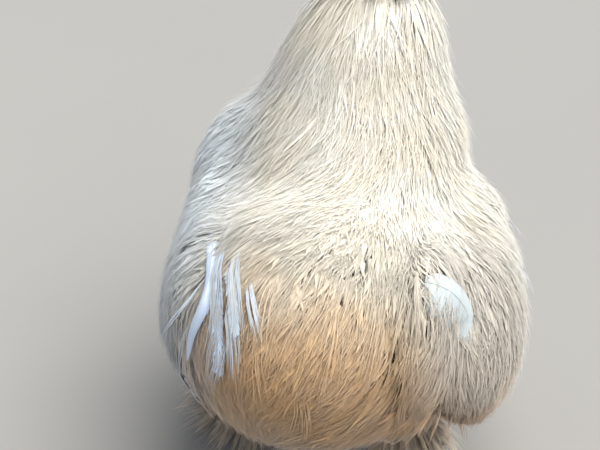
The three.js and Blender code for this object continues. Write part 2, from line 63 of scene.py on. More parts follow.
def unit(v):
    return v / np.maximum(np.linalg.norm(v, axis=-1, keepdims=True), 1e-9)


def dot(a, b):
    return np.sum(a * b, axis=-1, keepdims=True)


def turned(degrees):
    x, y, z = np.radians(degrees)
    about_x = np.array([[1, 0, 0], [0, math.cos(x), -math.sin(x)], [0, math.sin(x), math.cos(x)]])
    about_y = np.array([[math.cos(y), 0, math.sin(y)], [0, 1, 0], [-math.sin(y), 0, math.cos(y)]])
    about_z = np.array([[math.cos(z), -math.sin(z), 0], [math.sin(z), math.cos(z), 0], [0, 0, 1]])
    return about_x @ about_y @ about_z


def ellipsoid(centre, radii, tilt=(0, 0, 0)):
    return np.array(centre, float), np.array(radii, float), turned(tilt)


def ellipsoid_distance(p, centre, radii, turn):
    q = (p - centre) @ turn / radii
    share = np.linalg.norm(q, axis=-1)
    slope = np.linalg.norm(q / radii, axis=-1)
    return share * (share - 1) / np.maximum(slope, 1e-9)


class Form:
    """A soft union of ellipsoids and of other forms."""

    def __init__(self, parts, soften):
        self.parts = parts
        self.soften = soften
        self.centre = parts[0].centre if isinstance(parts[0], Form) else parts[0][0]

    def distance(self, p):
        found = None
        for part in self.parts:
            out = part.distance(p) if isinstance(part, Form) else ellipsoid_distance(p, *part)
            if found is None:
                found = out
            else:
                h = np.maximum(self.soften - np.abs(found - out), 0) / self.soften
                found = np.minimum(found, out) - h * h * self.soften / 4
        return found

    def normal(self, p):
        step = 0.5 * np.eye(3)
        return unit(np.stack([self.distance(p + s) - self.distance(p - s) for s in step], axis=-1))

    def settle(self, p, offset=0.0):
        """Points moved along the normal to a height over the form."""
        for _ in range(3):
            p = p - self.normal(p) * (self.distance(p) - offset)[:, None]
        return p

    def shrunk(self, depth):
        parts = [part.shrunk(depth) if isinstance(part, Form) else (part[0], part[1] - depth, part[2])
                 for part in self.parts]
        return Form(parts, self.soften)


def joined(*ellipsoids, soften=14):
    """A form from the centre and radii of each ellipsoid, and its tilt in degrees if it has one."""
    return Form([ellipsoid(*row) for row in ellipsoids], soften)


def head_at(x, y, z):
    return HEAD + [x, y, z]


def thighs(radii, back, height):
    return {f"thigh_{side}": joined(((x * 0.96, y + back, height), radii))
            for side, (_, (x, y)) in LEGS.items()}


TILTS = {
    "left_shoulder": (-18, 0, 8), "left_wing": (-26, 0, -4),
    "right_shoulder": (-18, 0, -8), "right_wing": (-20, 0, 4),
    "wing_end": (20, 0, 0), "tail": (-10, 0, 0),
}
cores = {
    "torso": joined(((0, 0, 145), (82, 104, 68)), ((0, -50, 142), (72, 60, 64)),
                  ((0, -40, 176), (66, 52, 46)), ((0, 50, 150), (70, 62, 64))),
    "neck": joined(((3, -62, 220), (52, 48, 44)), ((2, -76, 254), (39, 37, 44)),
                 ((-2, -90, 290), (29, 28, 32))),
    "wing_left": joined(((80, -50, 182), (22, 42, 34), TILTS["left_shoulder"]),
                      ((77, 6, 148), (18, 56, 42), TILTS["left_wing"])),
    "wing_right": joined(((-71, -34, 162), (20, 42, 34), TILTS["right_shoulder"]),
                       ((-94, 14, 140), (21, 56, 44), TILTS["right_wing"])),
    "tail": joined(((0, 88, 168), (50, 44, 48), TILTS["tail"])),
    **thighs((26, 31, 32), 6, 88),
}
coats = {
    "torso": joined(((0, 0, 144), (101, 124, 88)), ((0, -58, 142), (92, 80, 80)),
                  ((0, 50, 150), (92, 82, 84))),
    "neck": joined(((4, -74, 252), (60, 57, 62)), ((-1, -88, 292), (47, 45, 50)),
                 ((3, -56, 222), (78, 74, 50)), soften=20),
    "wing_left": joined(((76, -56, 186), (32, 50, 46), TILTS["left_shoulder"]),
                      ((80, 6, 146), (26, 62, 54), TILTS["left_wing"]),
                      ((70, 58, 162), (25, 50, 56), TILTS["wing_end"])),
    "wing_right": joined(((-69, -34, 160), (30, 48, 42), TILTS["right_shoulder"]),
                       ((-98, 14, 137), (33, 62, 53), TILTS["right_wing"]),
                       ((-72, 58, 164), (28, 52, 58), TILTS["wing_end"])),
    "tail": joined(((0, 88, 170), (66, 60, 62), TILTS["tail"])),
    **thighs((38, 44, 42), 8, 86),
}
skull = joined((head_at(0, 0, 0), (15.5, 20, 15.5)), (head_at(0, -12, -3), (11, 12.5, 10.5)),
             (head_at(0, 4, -12), (13, 15, 12)), soften=8)
crest_coat = joined((head_at(0, 11, 17), (43, 44, 38)))
beard_coat = joined((head_at(0, -5, -22), (39, 32, 25)))
# No feather crosses this form, so that eyes, beak and earlobes stay clear.
bare_face = joined((head_at(0, -17, -2), (60, 21, 11)), (head_at(0, 1, -8), (60, 5, 6)), soften=3)

# The coat's outer form, and the bed where its strands start to run level, no deeper than this.
DEEPEST = 17.0
lower_coats = [part for name, coat in coats.items() if name != "neck" for part in coat.parts]
cover = Form([Form(lower_coats, 7), coats["neck"]], 26)
bed = Form([*(part for core in cores.values() for part in core.parts), cover.shrunk(DEEPEST)], 30)


# View: behind the bird and above it, as in the photograph, whose pixels place some feathers.
VIEW = {"azimuth": 195, "elevation": 36, "distance": 1400, "lens": 129, "target": (0, 0, 165)}
TARGET_PIXEL = (335, 258)  # where the target shows in a picture of 600 by 450
PICTURE_MIDDLE = (300, 225)
SENSOR = 36.0

azimuth, elevation = math.radians(VIEW["azimuth"]), math.radians(VIEW["elevation"])
BACK = np.array([math.sin(azimuth) * math.cos(elevation), -math.cos(azimuth) * math.cos(elevation),
                 math.sin(elevation)])
RIGHTWARD = np.array([math.cos(azimuth), math.sin(azimuth), 0])
UPWARD = np.cross(BACK, RIGHTWARD)
PIXEL = VIEW["distance"] * SENSOR / VIEW["lens"] / (2 * PICTURE_MIDDLE[0])
EYE_POINT = np.array(VIEW["target"]) + BACK * VIEW["distance"]


def towards(x, y):
    """The way from the camera through a pixel."""
    across = (x - TARGET_PIXEL[0]) * PIXEL
    down = (y - TARGET_PIXEL[1]) * PIXEL
    return unit(RIGHTWARD * across - UPWARD * down - BACK * VIEW["distance"])


def seen_line(pixels, above, count):
    """A smooth line on the coat's outer form through the points that show at some pixels, at
    heights above it."""
    steps = np.arange(-260.0, 160.0, 0.5)[:, None] + VIEW["distance"]
    found = []
    for pixel in pixels:
        ray = EYE_POINT + towards(*pixel) * steps
        apart = cover.distance(ray)
        inside = apart < 0
        found.append(ray[np.argmax(inside) if inside.any() else np.argmin(apart)])
    on_coat = cover.distance(np.array(found)) < 1
    heights = np.interp(np.linspace(0, 1, count), np.linspace(0, 1, len(above)), above)
    line = curve(found, count)
    return cover.settle(line, heights) if on_coat.all() else line + BACK * heights[:, None]


# Meshes.

def placed(name, data):
    """A new object in the scene."""
    made = bpy.data.objects.new(name, data)
    bpy.context.scene.collection.objects.link(made)
    return made


def piece(name, points, faces, material, uv=None, marks=None, normals=None, replaces=(), slot=None):
    """A smooth mesh in place. faces is a list of arrays, each of triangles or of quads."""
    sizes = np.concatenate([np.full(len(f), f.shape[1]) for f in faces])
    corners = np.concatenate([f.ravel() for f in faces]).astype(np.int32)
    starts = np.concatenate([[0], np.cumsum(sizes)[:-1]]).astype(np.int32)
    mesh = bpy.data.meshes.new(name)
    mesh.vertices.add(len(points))
    mesh.vertices.foreach_set("co", ((points + SHIFT) * MM).astype(np.float32).ravel())
    mesh.loops.add(len(corners))
    mesh.loops.foreach_set("vertex_index", corners)
    mesh.polygons.add(len(sizes))
    mesh.polygons.foreach_set("loop_start", starts)
    mesh.polygons.foreach_set("use_smooth", np.ones(len(sizes), bool))
    mesh.update(calc_edges=True)
    if uv is not None:
        layer = mesh.uv_layers.new(name="OFBake")
        layer.data.foreach_set("uv", uv[corners].astype(np.float32).ravel())
    for mark, values in (marks or {}).items():
        mesh.attributes.new(mark, "FLOAT", "POINT").data.foreach_set("value", values.astype(np.float32))
    if normals is not None:
        mesh.normals_split_custom_set_from_vertices(normals.astype(np.float32))
    mesh.materials.append(material)
    made = placed(name, mesh)
    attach(made, BODY)
    if replaces:
        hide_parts(*replaces)


def together(parts):
    """Several (points, faces) as one."""
    points, faces, start = [], [], 0
    for p, fs in parts:
        points.append(p)
        faces += [f + start for f in fs]
        start += len(p)
    return np.concatenate(points), faces


def grid(rows, columns, closed=True, start=0):
    """Quads between rows of points, whose columns may close into a ring."""
    i = np.arange(columns if closed else columns - 1)
    j = (i + 1) % columns
    return start + np.concatenate([
        np.stack([i, j, columns + j, columns + i], 1) + row * columns for row in range(rows - 1)
    ])


def flipped(faces):
    return faces[:, [0, *range(faces.shape[1] - 1, 0, -1)]]


def ball(centre, radii, columns, rows, turn=np.eye(3)):
    around = np.arange(columns) / columns * 2 * math.pi
    ring = np.stack([np.cos(around), np.sin(around)], -1)
    side = np.concatenate([
        np.concatenate([ring * math.sin(d), np.full((columns, 1), math.cos(d))], 1)
        for d in np.arange(1, rows) / rows * math.pi
    ])
    points = (np.concatenate([[[0, 0, 1]], side, [[0, 0, -1]]]) * radii) @ turn.T + centre
    i = np.arange(columns)
    j = (i + 1) % columns
    top = np.stack([np.zeros_like(i), 1 + i, 1 + j], 1)
    foot = 1 + (rows - 2) * columns
    bottom = np.stack([np.full_like(i, len(points) - 1), foot + j, foot + i], 1)
    return points, [flipped(grid(rows - 1, columns, start=1)), top, bottom]


def directions(lines, up, axis=0):
    """Directions along lines of points, and across them at right angles to up."""
    along = unit(np.gradient(lines, axis=axis))
    return along, unit(np.cross(along, up))


def tube(path, wide, high, sides, up=(0, 0, 1)):
    """A closed tube along path, with half widths and half heights at its points."""
    along, across = directions(path, up)
    over = np.cross(across, along)
    around = np.arange(sides) / sides * 2 * math.pi
    ring = (path[:, None] + across[:, None] * (np.cos(around) * wide[:, None])[..., None]
            + over[:, None] * (np.sin(around) * high[:, None])[..., None])
    points = np.concatenate([ring.reshape(-1, 3), path[:1], path[-1:]])
    i = np.arange(sides)
    j = (i + 1) % sides
    end = len(path) * sides
    near = np.stack([np.full_like(i, end), j, i], 1)
    far = np.stack([np.full_like(i, end + 1), end - sides + i, end - sides + j], 1)
    return points, [grid(len(path), sides), near, far]


def curve(points, count):
    """count points along a smooth line through the given ones (Catmull-Rom)."""
    p = np.array(points, float)
    p = np.concatenate([[2 * p[0] - p[1]], p, [2 * p[-1] - p[-2]]])
    at = np.linspace(0, len(p) - 3 - 1e-9, count)
    k = at.astype(int)
    t = (at - k)[:, None]
    a, b, c, d = p[k], p[k + 1], p[k + 2], p[k + 3]
    return 0.5 * (2 * b + (c - a) * t + (2 * a - 5 * b + 4 * c - d) * t**2
                  + (3 * b - a - 3 * c + d) * t**3)


def read_out(source, key, width=1, kind=int):
    values = np.zeros(len(source) * width, kind)
    source.foreach_get(key, values)
    return values


def remeshed(parts, voxel, smooth):
    """One closed surface round several closed ones, as (points, faces)."""
    points, faces = together(parts)
    mesh = bpy.data.meshes.new("remesh")
    mesh.from_pydata(points.tolist(), [], [row for f in faces for row in f.tolist()])
    work = placed("remesh", mesh)
    voxels = work.modifiers.new("voxels", "REMESH")
    voxels.mode = "VOXEL"
    voxels.voxel_size = voxel
    soft = work.modifiers.new("soft", "SMOOTH")
    soft.iterations = smooth
    soft.factor = 0.5
    done = work.evaluated_get(bpy.context.evaluated_depsgraph_get()).to_mesh()
    out = read_out(done.vertices, "co", 3, float).reshape(-1, 3)
    corners = read_out(done.loops, "vertex_index")
    start = read_out(done.polygons, "loop_start")
    size = read_out(done.polygons, "loop_total")
    found = [corners[start[size == n][:, None] + np.arange(n)] for n in (3, 4) if np.any(size == n)]
    bpy.data.objects.remove(work)
    return out, found


# Materials.

class Paint:
    """A material and the nodes it is made of."""

    def __init__(self, name, roughness, **fixed):
        self.material = bpy.data.materials.new(name)
        self.material.use_nodes = True
        self.tree = self.material.node_tree
        self.shader = self.tree.nodes["Principled BSDF"]
        self.shader.inputs["Roughness"].default_value = roughness
        for socket, value in fixed.items():
            self.shader.inputs[socket.replace("_", " ")].default_value = value
        self.place = self.add("ShaderNodeNewGeometry").outputs["Position"]

    def add(self, kind, inputs=None, **settings):
        node = self.tree.nodes.new(kind)
        for name, value in settings.items():
            setattr(node, name, value)
        for socket, value in (inputs or {}).items():
            self.set(node.inputs[socket], value)
        return node

    def set(self, socket, value):
        if isinstance(value, bpy.types.NodeSocket):
            self.tree.links.new(value, socket)
        else:
            socket.default_value = value

    def math(self, operation, a, b=0.0):
        return self.add("ShaderNodeMath", {0: a, 1: b}, operation=operation).outputs[0]

    def plus(self, a, b):
        return self.math("ADD", a, b)

    def minus(self, a, b):
        return self.math("SUBTRACT", a, b)

    def times(self, a, *factors):
        for factor in factors:
            a = self.math("MULTIPLY", a, factor)
        return a

    def ramp(self, value, low, high):
        """0 to 1 as value goes from low to high, with soft ends."""
        node = self.add("ShaderNodeMapRange", {"Value": value, "From Min": low, "From Max": high},
                        interpolation_type="SMOOTHSTEP")
        return node.outputs["Result"]

    def mix(self, share, a, b):
        node = self.add("ShaderNodeMix", data_type="RGBA")
        self.set(node.inputs[0], share)
        for socket, value in ((node.inputs[6], a), (node.inputs[7], b)):
            self.set(socket, value if isinstance(value, bpy.types.NodeSocket) else (*value, 1))
        return node.outputs[2]

    def noise(self, scale, detail=4.0, vector=None):
        inputs = {"Vector": vector or self.place, "Scale": scale, "Detail": detail}
        return self.add("ShaderNodeTexNoise", inputs).outputs["Fac"]

    def cells(self, scale):
        inputs = {"Vector": self.place, "Scale": scale}
        return self.add("ShaderNodeTexVoronoi", inputs).outputs["Distance"]

    def mark(self, name):
        return self.add("ShaderNodeAttribute", attribute_name=name).outputs["Fac"]

    def where(self):
        """x, y and z in the bird's own frame, in metres."""
        moved = self.add("ShaderNodeVectorMath", {0: self.place, 1: tuple(-SHIFT * MM)},
                         operation="ADD")
        return self.add("ShaderNodeSeparateXYZ", {0: moved.outputs[0]}).outputs

    def colour(self, value):
        self.set(self.shader.inputs["Base Color"], value)

    def bump(self, height, strength, distance):
        inputs = {"Height": height, "Strength": strength, "Distance": distance}
        self.set(self.shader.inputs["Normal"], self.add("ShaderNodeBump", inputs).outputs[0])


WHITE = (0.985, 0.975, 0.91)
CREAM = (0.95, 0.80, 0.53)
TAN = (0.66, 0.48, 0.30)
ORANGE = (0.72, 0.36, 0.12)
BROWN = (0.42, 0.27, 0.16)
FOOT = (0.88, 0.79, 0.66)
# The next four colours are painted shade on white plumage: cool blue-white on the left side, grey on the
# right side, dull cream on faces that turn back, and darker blue-grey low on the left.
LEFT_SHADE = (0.52, 0.65, 0.77)
RIGHT_SHADE = (0.52, 0.49, 0.45)
SHADED = (0.54, 0.50, 0.42)
LEFT_LOW_SHADE = (0.40, 0.49, 0.57)


def markings(paint, tint, share):
    """The coat's colours by place: white and cream above, tan and orange on the lower rear, brown
    at the bottom. Painted shade is mixed in as well: a dull cream on faces that turn back and down,
    cool blue-white on the left side and darker blue-grey low down there, and grey on the right side."""
    x, y, z = paint.where()
    times, ramp = paint.times, paint.ramp
    patch = paint.noise(24.0, 3.0)
    height = paint.plus(z, times(paint.minus(patch, 0.5), 0.08))
    behind = paint.minus(paint.plus(y, 0.20), height)  # grows back and down
    streak = paint.plus(times(tint, 0.5), ramp(patch, 0.42, 0.64))
    lower = paint.math("MAXIMUM", ramp(behind, 0.055, 0.125), ramp(height, 0.150, 0.090))
    # Masks of painted shade: the left side, which is shaded cool, and the right side, which is shaded grey.
    left = times(ramp(x, 0.035, 0.090), ramp(z, 0.060, 0.130), ramp(y, -0.120, -0.050))
    right = times(ramp(x, -0.065, -0.100), ramp(y, -0.060, 0.020), ramp(height, 0.090, 0.150))
    layers = [
        (streak, 0.30, CREAM),
        (ramp(behind, 0.010, 0.065), 0.85, SHADED),
        (lower, 0.9, TAN),
        (ramp(behind, 0.105, 0.170), paint.plus(patch, 0.2), ORANGE),
        (ramp(behind, 0.180, 0.235), 0.45, BROWN),
        (ramp(height, 0.075, 0.045), 0.75, FOOT),
        # Painted cool shade on the left side, darker low down.
        (left, 0.8, LEFT_SHADE),
        (times(left, ramp(height, 0.190, 0.130)), 0.5, LEFT_LOW_SHADE),
        # Painted grey shade on the right side.
        (right, 0.75, RIGHT_SHADE),
        (paint.minus(1.0, share), 0.2, TAN),
    ]
    colour = WHITE
    for place, strength, tone in layers:
        colour = paint.mix(times(place, strength), colour, tone)
    return colour


def plumage_material():
    paint = Paint("plumage", 0.6, Sheen_Weight=0.35, Sheen_Roughness=0.45, Subsurface_Weight=0.4,
                  Subsurface_Scale=0.003, Subsurface_Radius=(1.0, 0.9, 0.8))
    paint.colour(markings(paint, paint.mark("tint"), paint.mark("share")))
    return paint.material


def skin_material():
    paint = Paint("skin", 0.55)
    _, _, z = paint.where()
    bare = paint.math("MAXIMUM", paint.ramp(z, 0.292, 0.300), paint.ramp(z, 0.060, 0.052))
    fine = paint.noise(900.0)
    skin = paint.mix(paint.noise(160.0), (0.035, 0.022, 0.030), (0.085, 0.050, 0.062))
    paint.colour(paint.mix(bare, markings(paint, fine, 0.4), skin))
    paint.bump(paint.plus(paint.cells(620.0), fine), 0.5, 0.0006)
    return paint.material


def scale_material():
    paint = Paint("scales", 0.42)
    paint.colour(paint.mix(paint.noise(120.0), (0.060, 0.062, 0.070), (0.150, 0.145, 0.150)))
    paint.bump(paint.plus(paint.cells(420.0), paint.times(paint.noise(700.0), 0.3)), 0.35, 0.0006)
    return paint.material


def vane_material():
    paint = Paint("vanes", 0.42, Sheen_Weight=0.15, Sheen_Roughness=0.4)
    own = markings(paint, paint.mark("tint"), 1.0)
    # Painted shade: white feathers drawn in cool blue-white or grey shade, picked by tint; the pale mark is
    # the share of this painted shade over the coat's own colours.
    cool = paint.mix(paint.mark("tint"), (0.52, 0.63, 0.82), (0.50, 0.57, 0.58))
    paint.colour(paint.mix(paint.mark("pale"), own, cool))
    paint.bump(paint.math("SINE", paint.times(paint.mark("barb"), 8.0)), 0.25, 0.0003)
    return paint.material


def flesh_material(name, dark, pale, roughness, grain, fine, depth):
    paint = Paint(name, roughness, Subsurface_Weight=0.1)
    paint.colour(paint.mix(paint.noise(grain), dark, pale))
    paint.bump(paint.noise(fine), depth, 0.0005)
    return paint.material


def horn_material(name, dark, pale, roughness):
    paint = Paint(name, roughness)
    stretched = paint.add("ShaderNodeVectorMath", {0: paint.place, 1: (1.0, 0.25, 1.0)},
                          operation="MULTIPLY").outputs[0]
    paint.colour(paint.mix(paint.noise(500.0, 5.0, stretched), dark, pale))
    paint.bump(paint.noise(1800.0, 3.0, stretched), 0.25, 0.0004)
    return paint.material


def eye_material():
    """A dark iris with a pupil and a dark rim, by distance from the eye's axis."""
    paint = Paint("eye", 0.06, Coat_Weight=1.0, Coat_Roughness=0.02)
    _, y, z = paint.where()
    aside = paint.minus(y, float(LEFT_EYE[1] * MM))
    above = paint.minus(z, float(LEFT_EYE[2] * MM))
    out = paint.math("SQRT", paint.plus(paint.times(aside, aside), paint.times(above, above)))
    iris = paint.mix(paint.noise(1400.0), (0.030, 0.012, 0.008), (0.090, 0.040, 0.020))
    black = paint.math("MAXIMUM", paint.ramp(out, 0.0020, 0.0017), paint.ramp(out, 0.0031, 0.0036))
    paint.colour(paint.mix(black, iris, (0.006, 0.005, 0.006)))
    return paint.material


PLUMAGE = plumage_material()
SKIN = skin_material()
SCALES = scale_material()
VANES = vane_material()
COMB = flesh_material("comb", (0.055, 0.010, 0.022), (0.13, 0.026, 0.045), 0.42, 300.0, 1500.0, 0.5)
LOBE = flesh_material("earlobe", (0.10, 0.36, 0.42), (0.24, 0.60, 0.62), 0.45, 350.0, 1300.0, 0.4)
BEAK = horn_material("beak", (0.055, 0.060, 0.080), (0.150, 0.155, 0.180), 0.32)
CLAW = horn_material("claw", (0.16, 0.15, 0.15), (0.34, 0.32, 0.30), 0.4)
EYES = eye_material()


# Feet: shank and toes with scutes. The same places and thicknesses as in the solids.
# Each toe's name, turn from straight ahead in degrees, length, half thickness at its root, and how
# far it rises.
TOES = [
    ("inner", -30, 40, 4.2, 0),
    ("middle", 2, 52, 3.6, 0),
    ("outer", 34, 42, 4.2, 0),
    ("hind", 188, 27, 3.9, 0),
    ("fifth", 150, 27, 3.4, 19),
]
SHANK = 5.6
SOLE = 0.9
CLAW_LENGTH = 11.0
SCUTE = 3.4  # length of one scute along a shank or toe


def toe_radius(thick, share):
    return thick * (1 - 0.35 * share)


def toe_path(side, toe):
    sign, leg = LEGS[side]
    _, turn, length, thick, rise = toe
    turn = math.radians(turn) * sign
    ankle = 17 if rise else 9
    path = []
    for share in (0, 0.3, 0.7, 1):
        raised = ankle + rise * share * (0.7 + 0.3 * share)
        flat = ankle if share == 0 else toe_radius(thick, share) - SOLE + (1.2 if share < 0.5 else 0)
        path.append((
            leg[0] + math.sin(turn) * length * share,
            leg[1] - math.cos(turn) * length * share,
            raised if rise else flat,
        ))
    return np.array(path)


def scutes(length, count, depth):
    """How far a limb's surface stands out along its length: each scute rises to its far edge."""
    at = np.linspace(0, length / SCUTE, count)
    return depth * (at % 1) ** 0.7


def shank_part(leg, count=110):
    x, y = leg
    path = curve([(x, y, 5), (x, y, 20), (x, y + 1, 45), (x, y + 5, HOCK + 14)], count)
    swell = 1.0 + 0.9 * np.linspace(0, 1, count) ** 4
    radius = SHANK * 0.93 * swell + scutes(HOCK + 9, count, 0.55)
    return tube(path, radius * 0.92, radius, 28, up=(0, -1, 0))


def toe_part(side, toe):
    _, _, length, thick, _ = toe
    count = int(length * 1.6)
    share = np.linspace(0, 1, count)
    path = toe_path(side, toe)
    path = np.concatenate([path, [path[-1] + unit(path[-1] - path[-2]) * 3]])
    joints = 0.10 * np.cos(share * 2 * math.pi * 3) * thick
    radius = toe_radius(thick, share) + scutes(length, count, 0.45) + joints * 0.5
    radius *= np.sqrt(np.clip((1 - share) / 0.06, 0, 1)) * 0.98 + 0.02
    points, faces = tube(curve(path, count), radius, radius, 20)
    points[:, 2] = np.maximum(points[:, 2], 0.0)
    return points, faces


def claw(side, toe, count=22):
    _, _, _, thick, rise = toe
    path = toe_path(side, toe)
    heading = unit(path[-1] - path[-2])
    root = path[-1] - heading * 1.5
    middle = root + heading * CLAW_LENGTH * 0.6 + [0, 0, 1.2 if rise else 0.7]
    end = root + heading * (CLAW_LENGTH + 1.5)
    end[2] = end[2] - 1 if rise else 0.9
    share = np.linspace(0, 1, count)
    full = min(thick * 0.5, root[2] - 0.2) * (1 - share**1.6) + 0.06
    points, faces = tube(curve([root, middle, end], count), full * 0.8, full, 14)
    points[:, 2] = np.maximum(points[:, 2], 0.05)
    return points, faces


# Skin: the flesh of head, neck, trunk, wings and thighs, inside the cores by the down's depth.
FLESH_DEPTH = {"torso": 15, "neck": 15, "wing_left": 7, "wing_right": 7, "tail": 22,
               "thigh_left": 6, "thigh_right": 6}
LID_POINTS = 41
# Two rings round each eye: half height for half width, reach, half thickness, and place outward.
LIDS = ((0.80, 5.4, 1.25, 0.4), (0.95, 7.0, 0.9, -0.9))

flesh = Form([p for name, core in cores.items() for p in core.shrunk(FLESH_DEPTH[name]).parts], 8)


def eye_centre(sign, out=0.0):
    return HEAD + [sign * (EYE["side"] + out), -EYE["forward"], EYE["rise"]]


def lid_parts():
    turn = np.linspace(0, 2 * math.pi, LID_POINTS)
    parts = []
    for sign in (1, -1):
        for squash, reach, thick, outward in LIDS:
            ring = [np.full_like(turn, sign * outward), np.cos(turn) * reach * 1.08,
                    np.sin(turn) * reach * squash]
            thick = np.full(LID_POINTS, thick)
            parts.append(tube(eye_centre(sign, 1.9) + np.stack(ring, 1), thick, thick, 12, (1, 0, 0)))
    return parts


def balls(parts, columns, rows):
    return [ball(centre, radii, columns, rows, turn) for centre, radii, turn in parts]


def make_skin():
    body = remeshed(balls(flesh.parts, 40, 24), 1.8, 3)
    neck_top = cores["neck"].shrunk(FLESH_DEPTH["neck"]).parts[-1]
    head = remeshed(balls([*skull.parts, neck_top], 64, 40) + lid_parts(), 0.55, 2)
    piece("skin", *together([body, head]), SKIN, slot="skin",
          replaces=("head", "neck", "torso", "tail", "wing_left", "wing_right", "thigh_left", "thigh_right"))


def make_feet():
    parts = []
    for side, (_, leg) in LEGS.items():
        parts += [shank_part(leg), *(toe_part(side, toe) for toe in TOES)]
    piece("feet", *together(parts), SCALES, slot="foot_skin", replaces=("foot_left", "foot_right"))
    for side in LEGS:
        for toe in TOES:
            name = f"{side}_{toe[0]}"
            piece(f"nail_{name}", *claw(side, toe), CLAW, slot="claw", replaces=(f"claw_{name}",))


make_skin()
make_feet()


# Face: eyes, earlobes, beak and walnut comb.
LOBE_SIZE = {"side": 13.6, "back": 1, "drop": 8, "radii": (2.8, 4.0, 5.4)}
BEAK_ROOT, MOUTH = 16, -4.4
# Each half's length, half width, height, offset from the line of the mouth, how far its tip hooks
# down, and whether it lies above the mouth or below it.
BEAK_SIZE = {
    "upper": {"length": 23, "wide": 7.0, "high": 8.5, "mouth": 0.2, "hook": 2.0, "over": 1},
    "lower": {"length": 19, "wide": 6.2, "high": 5.0, "mouth": -0.2, "hook": 0.0, "over": -1},
}
NOSTRIL = {"back": 11.5, "rise": 3.2, "long": 1.9, "high": 0.9, "deep": 1.5}
COMB_BULBS = [
    (0, -19, 12, 3.8), (-3.6, -17, 12.4, 3.2), (3.6, -17, 12.4, 3.2),
    (-2.2, -21.5, 9.4, 2.9), (2.4, -21.2, 9.6, 2.8), (0.2, -15.5, 15, 3.4),
]


def make_lobe(sign):
    points, faces = ball((0, 0, 0), (1, 1, 1), 40, 24)
    folds = 1 + 0.07 * np.sin(points[:, 2] * 9 + points[:, 1] * 4)[:, None]
    centre = HEAD + [sign * LOBE_SIZE["side"], LOBE_SIZE["back"], -LOBE_SIZE["drop"]]
    return points * folds * LOBE_SIZE["radii"] + centre, faces


def half_beak(half, rings=40, sides=24):
    """Half a horn: an arch over (or under) the flat line of the mouth."""
    size = BEAK_SIZE[half]
    share = np.linspace(0, 1, rings)[:, None]
    full = np.maximum(1 - share**1.9, 0) ** 0.72 + 0.015
    turn = np.linspace(0, math.pi, sides)[None, :]
    mouth = MOUTH + size["mouth"]
    across = np.cos(turn) * full * size["wide"]
    rise = full * size["high"] * np.sin(turn) ** 0.85
    z = mouth - (1.3 * share**2 + size["hook"] * share**6) + size["over"] * rise
    y = -BEAK_ROOT - size["length"] * share + np.zeros_like(across)
    if half == "upper":
        along = (y + BEAK_ROOT + NOSTRIL["back"]) / NOSTRIL["long"]
        above = (z - mouth - NOSTRIL["rise"]) / NOSTRIL["high"]
        for sign in (1, -1):
            hole = np.exp(-(along**2) - above**2) * (np.sign(across) == sign)
            across = across - sign * NOSTRIL["deep"] * hole
    arch = HEAD + np.stack([across, y, z], -1)
    i = np.arange(rings - 1) * sides
    floor = np.stack([i, i + sides, i + 2 * sides - 1, i + sides - 1], 1)
    back = np.stack([np.zeros(sides - 2, int), np.arange(2, sides), np.arange(1, sides - 1)], 1)
    front = flipped(back) + (rings - 1) * sides
    return arch.reshape(-1, 3), [grid(rings, sides, closed=False), floor, back, front]


def make_comb():
    rng = np.random.default_rng(5)
    parts = []
    for x, y, z, r in COMB_BULBS:
        parts.append(ball(head_at(x, y, z), np.full(3, r * 0.88), 20, 12))
        for knob in unit(rng.normal(size=(9, 3))):
            parts.append(ball(head_at(x, y, z) + knob * r * 0.72, np.full(3, r * 0.36), 12, 8))
    return remeshed(parts, 0.32, 2)


def make_face():
    for side, (sign, _) in LEGS.items():
        eyeball = ball(eye_centre(sign), np.full(3, EYE["radius"]), 48, 24)
        piece(f"eyeball_{side}", *eyeball, EYES, slot="eye", replaces=(f"eye_{side}",))
        piece(f"lobe_{side}", *make_lobe(sign), LOBE, slot="earlobe", replaces=(f"earlobe_{side}",))
    for half in BEAK_SIZE:
        piece(f"bill_{half}", *half_beak(half), BEAK, slot="beak", replaces=(f"beak_{half}",))
    piece("walnut_comb", *make_comb(), COMB, slot="comb", replaces=("comb",))


make_face()


# Coat. Each tuft is one silky feather: fine strands from one root that fan out and draw
# together again at the tip. Its middle line rises from the skin to the coat's outer form and
# follows the lie. Long strands have five stations and short ones four.
LONG = np.array([0.0, 0.16, 0.42, 0.72, 1.0])
SHORT = np.array([0.0, 0.30, 0.66, 1.0])
PROFILE = {5: np.array([0.75, 1.0, 1.0, 0.66, 0]), 4: np.array([0.8, 1.0, 0.8, 0])}
LIMIT = 190000  # triangles in one coat piece
PATCH = 0.003  # size of one tuft on the unwrap
FINE_STEPS = 12
FLAT = 0.45  # a strand's thickness for its width
WISPS = 0.08  # share of strands that stand clear of the coat
WISP_STEEPNESS = 1.5  # they rise late, towards their tips
STRAY = 5.0  # how far outside the coat's outer form a strand may end
COAT_DEPTH = (6, 45)  # least and most room for strands between the bed and the outer form
CLOUD = ((-130, -150, 40), (130, 160, 340))  # corners of a box round the bed
CLOUD_POINTS = 200000
NEAR_BED = 2.0


